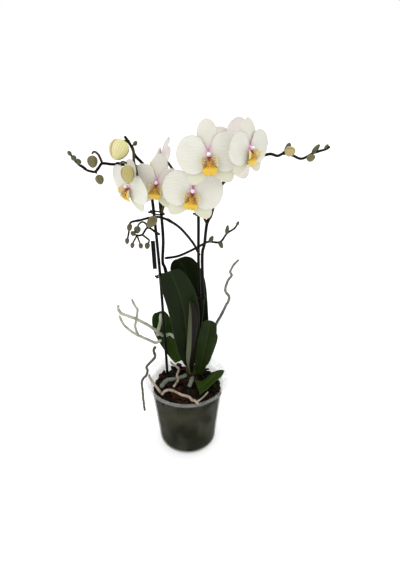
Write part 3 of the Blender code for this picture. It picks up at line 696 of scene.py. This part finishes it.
silver = rootSkin("rootSilver", (0.46, 0.47, 0.38), (0.26, 0.28, 0.20), (0.13, 0.11, 0.06), 0.0)
tan = rootSkin("rootTan", (0.42, 0.34, 0.27), (0.27, 0.22, 0.17), (0.12, 0.075, 0.05), 0.05)
thick = rootSkin("rootThick", (0.17, 0.19, 0.15), (0.11, 0.13, 0.10), (0.34, 0.34, 0.29), 0.0)
deep = rootSkin("rootDeep", (0.11, 0.12, 0.09), (0.06, 0.07, 0.05), (0.03, 0.03, 0.02), 0.06)
grey = rootSkin("rootGrey", (0.20, 0.19, 0.16), (0.11, 0.11, 0.09), (0.04, 0.035, 0.03), 0.06)
rootSkins = {
    "root_left": silver, "root_left_low": silver, "root_over_rim": deep, "root_rim_pale": tan,
    "root_bed_back": tan, "root_bed_front": tan, "root_bed_thick": thick, "root_bed_short": thick,
    "root_right": grey,
}


def makeRoot(name, stretches):
    body = bmesh.new()
    for route, firstRadius, lastRadius in stretches:
        points = smoothRoute(route, 6)
        radii = taper(firstRadius, lastRadius, len(points))
        sweep(body, points, radii, sides=12, rough=0.28, grain=0.22)
    closeUp(body)
    newPiece(name + "Skin", body, [name], [rootSkins[name]])


print("roots")
for rootName, stretches in roots.items():
    makeRoot(rootName, stretches)


# each stem, then its twigs; small buds are (base, tip, width)
stems = {
    "spike_left": [
        ([(-2, 30, 124), (-9, 34, 152), (-16, 39, 187), (-28, 40, 266), (-32, 39, 282), (-30, 36, 317),
          (-31, 33, 355), (-33, 26, 392), (-37, 14, 409), (-40, 5, 419), (-49, -3, 433), (-55, -8, 442),
          (-58, -12, 453), (-62, -14, 461), (-64, -16, 465)], 2.3, 1.5),
        ([(-60, -13, 457), (-64, -17, 461), (-65.6, -18.9, 461.2)], 1.1, 1.0),
        ([(-58, -12, 453), (-55, -12, 456)], 1.0, 0.9),
    ],
    "spike_left_outer": [
        ([(-45, -2, 423), (-50, -8, 428), (-59, -18, 434), (-70, -26, 437), (-79, -32, 439),
          (-88, -36, 441), (-92, -38, 437), (-96, -40, 433), (-100, -42, 434), (-104, -44, 436),
          (-108, -46, 440), (-111, -48, 443), (-115, -50, 449), (-118, -52, 456)], 1.8, 1.1),
        ([(-88, -36, 441), (-90, -38, 449), (-92, -39, 453), (-95, -40, 455), (-97, -41, 453.5)], 1.4, 1.1),
        ([(-70, -26, 437), (-68, -38, 442), (-63, -50, 447), (-58.5, -58.5, 448)], 1.2, 1.0),
        ([(-96, -40, 433), (-94, -42, 432)], 1.0, 0.9),
    ],
    "spike_left_lower": [
        ([(-34.5, 31, 327), (-39, 27, 332), (-48, 20, 341), (-55, 14, 334), (-61, 10, 335),
          (-64, 7, 338)], 1.6, 1.1),
        ([(-48, 20, 341), (-50, 17, 348), (-54, 15, 351), (-58, 13, 349), (-60, 12, 345)], 1.3, 1.1),
        ([(-55, 14, 334), (-49, 12, 330), (-46, 11, 327), (-48, 10, 323)], 1.3, 1.1),
        ([(-61, 10, 335), (-59, 8, 329), (-57, 6, 324)], 1.2, 1.0),
        ([(-61, 10, 335), (-64, 8, 330), (-67, 6, 325)], 1.2, 1.0),
    ],
    "spike_left_side": [([(-28, 41.5, 287), (-9, 43, 290), (16, 49, 300), (30, 51, 307), (46, 48, 308),
        (55, 45, 322), (64, 42, 330), (68, 40, 337)], 1.8, 1.2)],
    "spike_right": [([(15, 28, 124), (18, 29, 150), (19, 30, 176), (23, 31, 226), (22, 33.5, 293),
        (25, 34, 312), (28, 31, 342), (33, 24, 356), (38, 8, 384), (44, -12, 408), (51, -28, 423),
        (60, -36, 434), (72, -38, 443), (84, -38, 449), (95, -38, 452), (103, -38, 450), (110, -39, 453),
        (119, -40, 451), (129, -42, 448), (141, -44, 455), (152, -46, 459), (156, -47, 462)], 2.3, 1.2)],
    "spike_right_arch": [
        ([(18, 31.5, 297), (10, 27, 316), (-5, 14, 342), (-18, 3, 357), (-30, -6, 366), (-41, -10, 367),
          (-53, -13, 365), (-64, -15, 363), (-66, -16, 357), (-68, -15, 348), (-70, -16, 340)], 1.8, 1.1),
        ([(-30, -6, 366), (-33, -11, 369)], 1.2, 1.0),
    ],
}

smallBuds = {
    "spike_left": [((-55, -12, 454.5), (-52, -12, 459.5), 5)],
    "spike_left_outer": [((-109.5, -48, 444), (-112, -50, 450), 5.5),
        ((-113.5, -50, 449), (-117, -52, 454), 6), ((-117.5, -52, 454.5), (-119.5, -54, 459.5), 4.5)],
    "spike_left_lower": [((-60, 12, 346.5), (-61, 11, 337), 9), ((-48, 10.5, 324.5), (-49.5, 9, 316), 7),
        ((-57, 6.5, 325.5), (-56, 5, 318.5), 6), ((-63.5, 7.5, 336.5), (-67.5, 5, 342), 6.5),
        ((-66.5, 6.5, 326.5), (-68, 5, 319), 5.5)],
    "spike_left_side": [((32, 50.5, 306.5), (36.5, 48, 317), 6.5),
        ((45.5, 48.5, 309.5), (49.5, 46, 299.5), 6.5), ((54.5, 45.5, 321), (56, 43, 335), 5.5),
        ((67.5, 40.5, 335.5), (70, 39, 342), 4)],
    "spike_right": [((139, -44, 454), (146, -44, 464), 5.5), ((152, -46, 458.5), (155, -44, 464), 4.5),
        ((112, -38, 452), (116, -33, 463), 7)],
    "spike_right_arch": [((-65, -15.8, 361.5), (-67, -18, 352.5), 6.5),
        ((-69.8, -15.8, 343), (-70.5, -17, 335), 5.5)],
}

# each flower: column place, yaw, pitch and roll in degrees, size against a 66 mm flower
flowers = {
    "flower_1": dict(column=(28, -72, 461), yaw=0, pitch=10, roll=5, size=1.0),
    "flower_2": dict(column=(11, -56, 416), yaw=0, pitch=6, roll=-8, size=1.0),
    "flower_3": dict(column=(-30, -40, 420), yaw=-8, pitch=6, roll=-8, size=0.9),
    "flower_4": dict(column=(-63.5, -50, 419), yaw=-45, pitch=-6, roll=-12, size=0.88),
    "flower_5": dict(column=(74, -70, 467), yaw=42, pitch=6, roll=-4, size=0.85),
    "flower_6": dict(column=(56, 4, 450), yaw=180, pitch=4, roll=12, size=1.05),
    "flower_7": dict(column=(-33, 0, 436), yaw=-108, pitch=14, roll=10, size=0.82),
}
stalks = {
    "flower_1": ("spike_right", [(51, -28, 423), (44, -42, 434), (36, -52, 448)]),
    "flower_2": ("spike_right", [
        (28, 31, 342), (25, 27, 350), (19, 12, 371), (14, -12, 392), (11, -34, 408)]),
    "flower_3": ("spike_left", [(-33, 26, 392), (-38, 12, 393), (-40, -6, 397), (-36, -19, 406)]),
    "flower_4": ("spike_left", [(-57, -12, 452), (-55, -20, 449), (-54, -30, 440), (-51, -36, 430)]),
    "flower_5": ("spike_right", [(72, -38, 443), (66, -41, 454)]),
    "flower_6": ("spike_right", [(60, -36, 434), (60, -26, 438)]),
    "flower_7": ("spike_left", [(-31, 33, 355), (-23, 22, 378), (-12, 6, 392), (-5, -8, 410)]),
}
stalk = dict(radius=1.7, behind=(9.0, 1.8), columnReach=8.0)
darkStem = stemSkin("stemDark", (0.004, 0.0025, 0.002), (0.012, 0.009, 0.004), 0.42, 0.62)
lightStem = stemSkin("stemLight", (0.030, 0.013, 0.011), (0.050, 0.045, 0.016), 0.40, 0.60)
smallBud = budSkin("smallBudSkin", (0.055, 0.065, 0.012), (0.07, 0.045, 0.014), (0.02, 0.01, 0.006))


def flowerFrame(column, yaw, pitch, roll):
    # local +Z faces out of the flower and local +Y points to its top
    turn = (
        Matrix.Rotation(math.radians(yaw), 4, "Z")
        @ Matrix.Rotation(math.radians(90 - pitch), 4, "X")
        @ Matrix.Rotation(math.radians(roll), 4, "Z")
    )
    outward = turn @ Vector((0, 0, 1))
    return Matrix.Translation((Vector(column) - outward * stalk["columnReach"]) * mm) @ turn


def flowerStalks(stemName):
    # this stem's flower stalks, each ending square to its flower's back
    found = []
    for flowerName, (owner, route) in stalks.items():
        if owner == stemName:
            flower = flowers[flowerName]
            frameOf = flowerFrame(flower["column"], flower["yaw"], flower["pitch"], flower["roll"])
            back = [frameOf @ Vector((0, 0, -depth * mm)) / mm for depth in stalk["behind"]]
            found.append(route + [tuple(place) for place in back])
    return found


def addBud(body, base, tip, width, around=20, rings=14, materialIndex=0, seams=True):
    # a drop fuller near its base, grooved where its sepals meet and nipped at the tip
    base = Vector(base) * mm
    axis = Vector(tip) * mm - base
    body.loops.layers.uv.verify()
    made = bmesh.ops.create_uvsphere(
        body, u_segments=around, v_segments=rings, radius=0.5, calc_uvs=True)["verts"]
    for vert in made:
        share = vert.co.z + 0.5
        angle = math.atan2(vert.co.y, vert.co.x)
        groove = 1 - (0.07 * math.exp(-(math.sin(1.5 * angle) / 0.22) ** 2) if seams else 0)
        girth = width * mm * (1.12 - 0.28 * share) * groove
        vert.co = Vector((vert.co.x * girth, vert.co.y * girth, share * axis.length))
    turn = Vector((0, 0, 1)).rotation_difference(axis).to_matrix().to_4x4()
    bmesh.ops.transform(body, matrix=Matrix.Translation(base) @ turn, verts=made)
    colourFaces(made, materialIndex)


def addBract(body, place, heading, aside, size, materialIndex=0):
    # a small pointed scale that clasps the stem at a joint
    outward = aside.normalized()
    heading = heading.normalized()
    start = place + outward * 1.2
    points = [start + heading * size * along + outward * out
              for along, out in ((-0.3, 0), (0, 0.5), (0.6, 0.9), (1.1, 0.6))]
    sweep(body, smoothRoute(points, 3), taper(1.1, 0.35, 10), sides=8, materialIndex=materialIndex)


def makeStem(name, stretches):
    body = bmesh.new()
    body.loops.layers.uv.new("along")
    for index, (route, firstRadius, lastRadius) in enumerate(stretches):
        points = smoothRoute(route, 8)
        radii = taper(firstRadius, lastRadius, len(points))
        joints = range(24, len(points) - 10, 26) if index == 0 and len(points) > 60 else []
        for joint in joints:
            for near in range(-2, 3):
                radii[joint + near] *= 1 + 0.22 * math.exp(-near ** 2 / 2)
        sweep(body, points, radii, sides=12, rough=0.05, grain=0.12, materialIndex=index > 0)
        for joint in joints:
            heading = points[joint + 1] - points[joint]
            side = heading.cross(Vector((0, 0, 1)) if joint % 4 else Vector((1, 0, 0)))
            addBract(body, points[joint], heading, side if joint % 52 < 26 else -side, 5)
    for route in flowerStalks(name):
        points = smoothRoute(route, 6)
        radii = taper(stalk["radius"], stalk["radius"] * 0.9, len(points))
        sweep(body, points, radii, sides=12, rough=0.05, grain=0.12, materialIndex=1)
    for base, tip, width in smallBuds.get(name, []):
        addBud(body, base, tip, width, 16, 10, 2)
    closeUp(body)
    newPiece(name + "Wood", body, [name], [darkStem, lightStem, smallBud])


print("stems")
for stemName, stretches in stems.items():
    makeStem(stemName, stretches)


buds = {
    "bud_top": ((-66, -21, 462.5), (-75.2, -33.5, 445), 22.8),
    "bud_hanging": ((-58, -60.8, 446.3), (-56.2, -66.5, 428.5), 14.8),
    "bud_curl": ((-97.5, -42, 451.5), (-97, -44, 438.5), 11.5),
    "bud_low": ((-92.5, -43, 430.5), (-89.5, -46, 420.5), 9.5),
    "bud_right": ((111, -42.5, 455), (119, -50, 459.5), 11),
    "bud_right_outer": ((133, -48.6, 449), (141, -51, 453.5), 8),
    "bud_arch": ((-34, -13, 369.5), (-43.5, -21.5, 359.5), 11.2),
}

olive = ((0.40, 0.38, 0.11), (0.46, 0.34, 0.14), (0.10, 0.045, 0.02))
cream = ((0.68, 0.68, 0.27), (0.74, 0.64, 0.36), (0.28, 0.13, 0.09))
dull = ((0.12, 0.12, 0.03), (0.14, 0.10, 0.035), (0.035, 0.018, 0.009))
budColours = {
    "bud_top": cream, "bud_hanging": olive, "bud_curl": dull, "bud_low": dull, "bud_right": olive,
    "bud_right_outer": dull, "bud_arch": dull,
}

print("buds")
for budName, (base, tip, width) in buds.items():
    budBody = bmesh.new()
    addBud(budBody, base, tip, width, 48, 32)
    closeUp(budBody)
    light, flush, seam = budColours[budName]
    newPiece(budName + "Skin", budBody, [budName],
             [budSkin(budName.replace("_", "") + "Wax", light, flush, seam)])


stakes = {
    "stake_left": [(-31, 33, 95.5), (-36, 36, 261), (-41, 38, 355), (-44, 39, 387)],
    "stake_right": [(25, 35, 95.5), (19, 37, 223), (17, 38, 283), (17, 39, 345), (16, 39, 365)],
}

clips = {
    "clip_left_high": ((-41, 38, 355), (-31, 33, 355)),
    "clip_left_low": ((-36, 36, 262), (-27.7, 40, 262)),
    "clip_right_high": ((17, 39, 352), (19, 37.5, 352)),
    "clip_right_low": ((19, 37, 230), (23, 31.2, 230)),
}
clipShape = dict(wire=1.0, clearance=1.0, ear=2.0, stakeRadius=2.0, knob=1.5)
tag = dict(size=(5.6, 2.2, 42), place=(-43.4, 36.6, 294), lean=-1.5, edge=0.7)
stakeBlack = blackPlastic("stakePlastic", 0.38)
clipBlack = blackPlastic("clipPlastic", 0.3)


def makeStake(name, route):
    # a moulded rod with a pointed top
    body = bmesh.new()
    points = smoothRoute(route, 16)
    sweep(body, points, [2.0] * (len(points) - 1) + [1.4], sides=16, rough=0.03, grain=0.08)
    closeUp(body)
    newPiece(name + "Rod", body, [name], [stakeBlack])


def makeClip(name, first, second):
    # a loop around stake and stem; its two open ends turn out as knobbed ears
    first = Vector(first)
    second = Vector(second)
    centre = (first + second) / 2
    along = (second - first).normalized()
    aside = Vector((0, 0, 1)).cross(along).normalized()
    margin = clipShape["stakeRadius"] + clipShape["clearance"] + clipShape["wire"]
    halfLength = (second - first).length / 2 + margin
    ears = centre - along * (halfLength + clipShape["ear"])
    points = [ears + aside * 2.5]
    for step in range(33):
        angle = math.radians(160 - 320 * step / 32)
        across = aside * math.sin(angle) * (margin + 0.8)
        points.append(centre + along * math.cos(angle) * halfLength + across)
    points.append(ears - aside * 2.5)
    wire = clipShape["wire"]
    radii = [clipShape["knob"] * wire] + [wire] * 33 + [clipShape["knob"] * wire]
    body = bmesh.new()
    sweep(body, points, radii, sides=12)
    closeUp(body)
    newPiece(name + "Loop", body, [name], [clipBlack])


def makeTag():
    body = bmesh.new()
    shape = Matrix.Diagonal([value * mm for value in tag["size"]] + [1])
    lean = Matrix.Rotation(math.radians(tag["lean"]), 4, "Y")
    bmesh.ops.create_cube(body, size=1, matrix=Matrix.Translation(Vector(tag["place"]) * mm) @ lean @ shape)
    bmesh.ops.bevel(body, geom=body.edges[:] + body.verts[:], offset=tag["edge"] * mm, offset_type="OFFSET",
                    affect="EDGES", segments=3, profile=0.5, material=-1)
    newPiece("stakeTagPlate", body, ["stake_tag"], [clipBlack])


print("stakes and clips")
for stakeName, route in stakes.items():
    makeStake(stakeName, route)
for clipName, ends in clips.items():
    makeClip(clipName, *ends)
makeTag()


# lobes: direction in degrees, length, width
sepalLobes = [(90, 34.5, 22), (234, 37, 21), (306, 37, 21)]
petalLobes = [(0, 33.5, 40), (180, 33.5, 40)]
petalShape = dict(thickness=0.7, lift=2.2, across=18, along=22, ruffle=0.9, start=0.03,
                  claw=0.16, clawWidth=0.45)
lipShape = dict(length=19, width=17, lift=4.4, thickness=0.8, swing=8, start=3.4, claw=3.0, opens=0.34,
                closes=0.6, notch=2.0, curl=3.2)
wingShape = dict(start=1.6, spread=7.2, width=5.8, lift=0.4, rise=7.6, cup=0.8, back=8.2)
columnShape = dict(route=[(0, -0.6, 1.6), (0, -0.2, 4), (0, 0, 6.5), (0, -0.2, 8)], radii=(3.0, 2.2),
                   callus=[(0, -3.6, 4.6), (0, -5.4, 6.6), (0, -6.6, 8.0)], callusRadii=(1.8, 1.3),
                   capPlace=(0, 0.3, 8.0), capRadii=(2.2, 2.0, 1.7))

sepalWhite = tepalSkin("sepalFace", (0.62, 0.61, 0.48), (0.52, 0.52, 0.36), (0.44, 0.46, 0.15), (0.10, 0.68),
                       (0.46, 0.50, 0.22))
dorsalWhite = tepalSkin("dorsalFace", (0.67, 0.66, 0.58), (0.58, 0.53, 0.44), (0.62, 0.36, 0.50),
                        (0.05, 0.42))
petalWhite = tepalSkin("petalFace", (0.68, 0.675, 0.60), (0.56, 0.555, 0.46), (0.62, 0.28, 0.48),
                       (0.04, 0.26))
tepalBack = tepalSkin("tepalBack", (0.80, 0.77, 0.72), (0.68, 0.58, 0.56), (0.58, 0.38, 0.38), (0.0, 0.55))
lipYellow = lipSkin("lipYellow", (0.66, 0.42, 0.004), (0.28, 0.05, 0.004), (0.68, 0.44, 0.010),
                    6.0, (0.46, 0.60))
lipWing = lipSkin("lipWing", (0.70, 0.62, 0.38), (0.30, 0.06, 0.012), (0.76, 0.58, 0.06),
                    4.0, (0.25, 0.7))
lipCallus = lipSkin("lipCallus", (0.34, 0.07, 0.008), (0.10, 0.004, 0.008), (0.50, 0.16, 0.012),
                    5.0, (0.5, 1.0))
columnPink = columnSkin("columnWax", (0.86, 0.80, 0.82), (0.55, 0.10, 0.30), 420, 0.42, 0.6)
columnWhite = columnSkin("columnCap", (0.88, 0.86, 0.84), (0.72, 0.45, 0.55), 500, 0.5, 0.75)


def dish(radius):
    # how far the flower's face rises and then falls back, away from its centre
    return 0.10 * radius - 0.0042 * radius ** 2


def addTepal(body, direction, length, width, lift, seed, ruffle):
    # one blade from the flower's centre, an ellipse with a narrow claw, dished and a little ruffled
    made = bmesh.ops.create_grid(body, x_segments=petalShape["across"], y_segments=petalShape["along"],
                                 size=1, calc_uvs=True)["verts"]
    turn = Matrix.Rotation(math.radians(direction - 90), 3, "Z")
    for vert in made:
        across = vert.co.x
        along = 0.5 - 0.5 * math.cos((vert.co.y + 1) / 2 * math.pi)
        reach = length * (petalShape["start"] + (1 - petalShape["start"]) * along)
        claw = petalShape["clawWidth"] + (1 - petalShape["clawWidth"]) * min(1.0, along / petalShape["claw"])
        half = width / 2 * math.sqrt(max(0.0, 1 - (2 * reach / length - 1) ** 2)) * claw
        edge = abs(across) ** 3
        wave = ruffle * edge * math.sin(along * 7 + across * 2 + seed) * min(1.0, along * 2)
        groove = -0.5 * math.exp(-(across * 4) ** 2) * (1 - along)
        ripple = 0.35 * noise.noise(Vector((across * 2, along * 3, seed * 3.7)))
        bow = -0.35 * edge * (1 if seed % 2 else 0.3)
        flat = turn @ Vector((half * across, reach, 0))
        vert.co = flat + Vector((0, 0, lift + dish(flat.length) + wave + groove + ripple + bow))
    return made


def makeTepals(name, kind, flowerMatrix, size, lobes, lift, front, seed, ruffle):
    body = bmesh.new()
    body.loops.layers.uv.new("along")
    for index, (direction, length, width) in enumerate(lobes):
        made = addTepal(body, direction, length, width, lift + 0.15 * index, seed + index * 2.3, ruffle)
        colourFaces(made, 2 if direction == 90 else 0)
    bmesh.ops.transform(body, matrix=flowerMatrix @ Matrix.Scale(size * mm, 4), verts=body.verts)
    bmesh.ops.remove_doubles(body, verts=body.verts, dist=0.005 * mm)
    bmesh.ops.recalc_face_normals(body, faces=body.faces)
    outward = flowerMatrix.to_3x3() @ Vector((0, 0, 1))
    wrong = [face for face in body.faces if face.normal.dot(outward) < 0]
    bmesh.ops.reverse_faces(body, faces=wrong)
    piece = newPiece(name + kind.capitalize(), body, [f"{name}_{kind}"],
                     [front, tepalBack, dorsalWhite, tepalBack])
    thicken(piece, petalShape["thickness"], 1)


def addLipBlade(body, shaper, across, along, materialIndex):
    made = bmesh.ops.create_grid(body, x_segments=across, y_segments=along, size=1, calc_uvs=True)["verts"]
    for vert in made:
        vert.co = shaper(vert.co.x, (vert.co.y + 1) / 2)
    colourFaces(made, materialIndex)


def midLobe(across, along):
    # the tongue: a narrow claw that opens into a broad, drooping, notched blade
    radius = lipShape["start"] + lipShape["length"] * along
    opened = min(1.0, max(0.0, (along - lipShape["opens"]) / 0.28))
    closing = max(0.0, (along - lipShape["closes"]) / (1 - lipShape["closes"]))
    half = lipShape["claw"] + (lipShape["width"] / 2 - lipShape["claw"]) * opened * opened * (3 - 2 * opened)
    half *= math.sqrt(max(0.0, 1 - closing ** 2 * 0.97))
    notch = lipShape["notch"] * max(0.0, 1 - abs(across) * 3) * max(0.0, along - 0.8) * 5
    swing = math.sin(math.pi * along) * lipShape["swing"]
    curl = -lipShape["curl"] * across ** 2 * math.sin(math.pi * along)
    return Vector((half * across, -radius + notch, lipShape["lift"] + swing + curl))


def wingLobe(side):
    # a side lobe: spreads from the throat, then stands up and cups in beside the column
    def shaper(across, along):
        angle = math.pi / 2 * along
        reach = wingShape["start"] + wingShape["spread"] * math.sin(angle)
        half = wingShape["width"] * (0.62 + 0.38 * math.sin(math.pi * along))
        half *= math.sqrt(max(0.03, 1 - max(0.0, along - 0.7) ** 2 * 9))
        height = lipShape["lift"] + wingShape["lift"] + wingShape["rise"] * (1 - math.cos(angle))
        height += wingShape["cup"] * across ** 2 * along
        return Vector((side * reach, 1.2 * along - wingShape["back"] + half * across, height))
    return shaper


def makeLip(name, flowerMatrix, size):
    body = bmesh.new()
    body.loops.layers.uv.new("along")
    addLipBlade(body, midLobe, 18, 30, 0)
    addLipBlade(body, wingLobe(1), 10, 12, 1)
    addLipBlade(body, wingLobe(-1), 10, 12, 1)
    bmesh.ops.remove_doubles(body, verts=body.verts, dist=0.01)
    bmesh.ops.recalc_face_normals(body, faces=body.faces)
    bmesh.ops.solidify(body, geom=body.faces[:], thickness=lipShape["thickness"])
    solid = bmesh.new()
    solid.loops.layers.uv.new("along")
    column = smoothRoute(columnShape["route"], 4)
    sweep(solid, column, taper(*columnShape["radii"], len(column)), sides=16, rough=0.06, materialIndex=3)
    callus = smoothRoute(columnShape["callus"], 4)
    radii = taper(*columnShape["callusRadii"], len(callus))
    sweep(solid, callus, radii, sides=12, rough=0.2, materialIndex=2)
    capRadii = Matrix.Diagonal([radius * mm for radius in columnShape["capRadii"]] + [1])
    capPlace = Matrix.Translation(Vector(columnShape["capPlace"]) * mm) @ capRadii
    cap = bmesh.ops.create_uvsphere(solid, u_segments=18, v_segments=12, radius=1, matrix=capPlace)["verts"]
    colourFaces(cap, 4)
    bmesh.ops.scale(solid, vec=(1 / mm, 1 / mm, 1 / mm), verts=solid.verts)
    blades = bpy.data.meshes.new("blades")
    body.to_mesh(blades)
    body.free()
    solid.from_mesh(blades)
    bpy.data.meshes.remove(blades)
    bmesh.ops.transform(solid, matrix=flowerMatrix @ Matrix.Scale(size * mm, 4), verts=solid.verts)
    bmesh.ops.remove_doubles(solid, verts=solid.verts, dist=0.003 * mm)
    bmesh.ops.recalc_face_normals(solid, faces=solid.faces)
    newPiece(name + "Lip", solid, [f"{name}_lip"],
             [lipYellow, lipWing, lipCallus, columnPink, columnWhite])


print("flowers")
for number, (flowerName, flower) in enumerate(flowers.items()):
    flowerMatrix = flowerFrame(flower["column"], flower["yaw"], flower["pitch"], flower["roll"])
    size = flower["size"]
    makeTepals(flowerName, "sepals", flowerMatrix, size, sepalLobes, 0, sepalWhite, number * 5 + 1, 0.6)
    makeTepals(flowerName, "petals", flowerMatrix, size, petalLobes, petalShape["lift"], petalWhite,
               number * 5 + 2, petalShape["ruffle"])
    makeLip(flowerName, flowerMatrix, size)


studio = dict(floorSize=8.0, floorColour=(0.92, 0.92, 0.92), floorShade=(0.88, 0.88, 0.88),
              worldLight=1.0, floorGlow=0.3)
lamps = {
    "keyLight": dict(place=(-0.9, -1.2, 1.6), aim=(0, 0, 0.3), size=1.2, power=7),
    "fillLight": dict(place=(1.3, -0.9, 0.9), aim=(0, 0, 0.3), size=1.6, power=1),
    "topLight": dict(place=(0.2, 0.5, 1.9), aim=(0, 0, 0.3), size=1.2, power=3),
}
camera = dict(place=(0.019, -0.604, 0.607), down=29.3, lens=33.22, sensor=36)


def makeStudio():
    body = bmesh.new()
    bmesh.ops.create_grid(body, x_segments=2, y_segments=2, size=studio["floorSize"] / 2)
    mesh = bpy.data.meshes.new("studioFloor")
    body.to_mesh(mesh)
    body.free()
    material, tree, shader, place, _ = newMaterial(
        "studioFloorPaint", Roughness=0.9, Emission_Color=(1, 1, 1, 1), Emission_Strength=studio["floorGlow"])
    faint = blotches(tree, place, scale=2, low=0.3, high=0.7)
    paint(tree, shader, mixColour(tree, faint, studio["floorColour"], studio["floorShade"]))
    mesh.materials.append(material)
    floor = bpy.data.objects.new("studioFloor", mesh)
    floor.location = (0, 0, -0.0005)
    bpy.context.scene.collection.objects.link(floor)
    world = bpy.data.worlds.new("studioWorld")
    world.use_nodes = True
    world.node_tree.nodes["Background"].inputs["Color"].default_value = (1, 1, 1, 1)
    world.node_tree.nodes["Background"].inputs["Strength"].default_value = studio["worldLight"]
    bpy.context.scene.world = world
    bpy.context.scene.view_settings.view_transform = "Standard"
    for name, lamp in lamps.items():
        light = bpy.data.lights.new(name, "AREA")
        light.energy = lamp["power"]
        light.size = lamp["size"]
        item = bpy.data.objects.new(name, light)
        item.location = lamp["place"]
        towards = Vector(lamp["aim"]) - Vector(lamp["place"])
        item.rotation_euler = towards.to_track_quat("-Z", "Y").to_euler()
        bpy.context.scene.collection.objects.link(item)


def makeCamera():
    lens = bpy.data.cameras.new("studioCamera")
    lens.sensor_fit = "VERTICAL"
    lens.sensor_height = camera["sensor"]
    lens.lens = camera["lens"]
    item = bpy.data.objects.new("studioCamera", lens)
    item.location = camera["place"]
    item.rotation_euler = (math.radians(90 - camera["down"]), 0, 0)
    bpy.context.scene.collection.objects.link(item)
    bpy.context.scene.camera = item


print("studio")
makeStudio()
makeCamera()
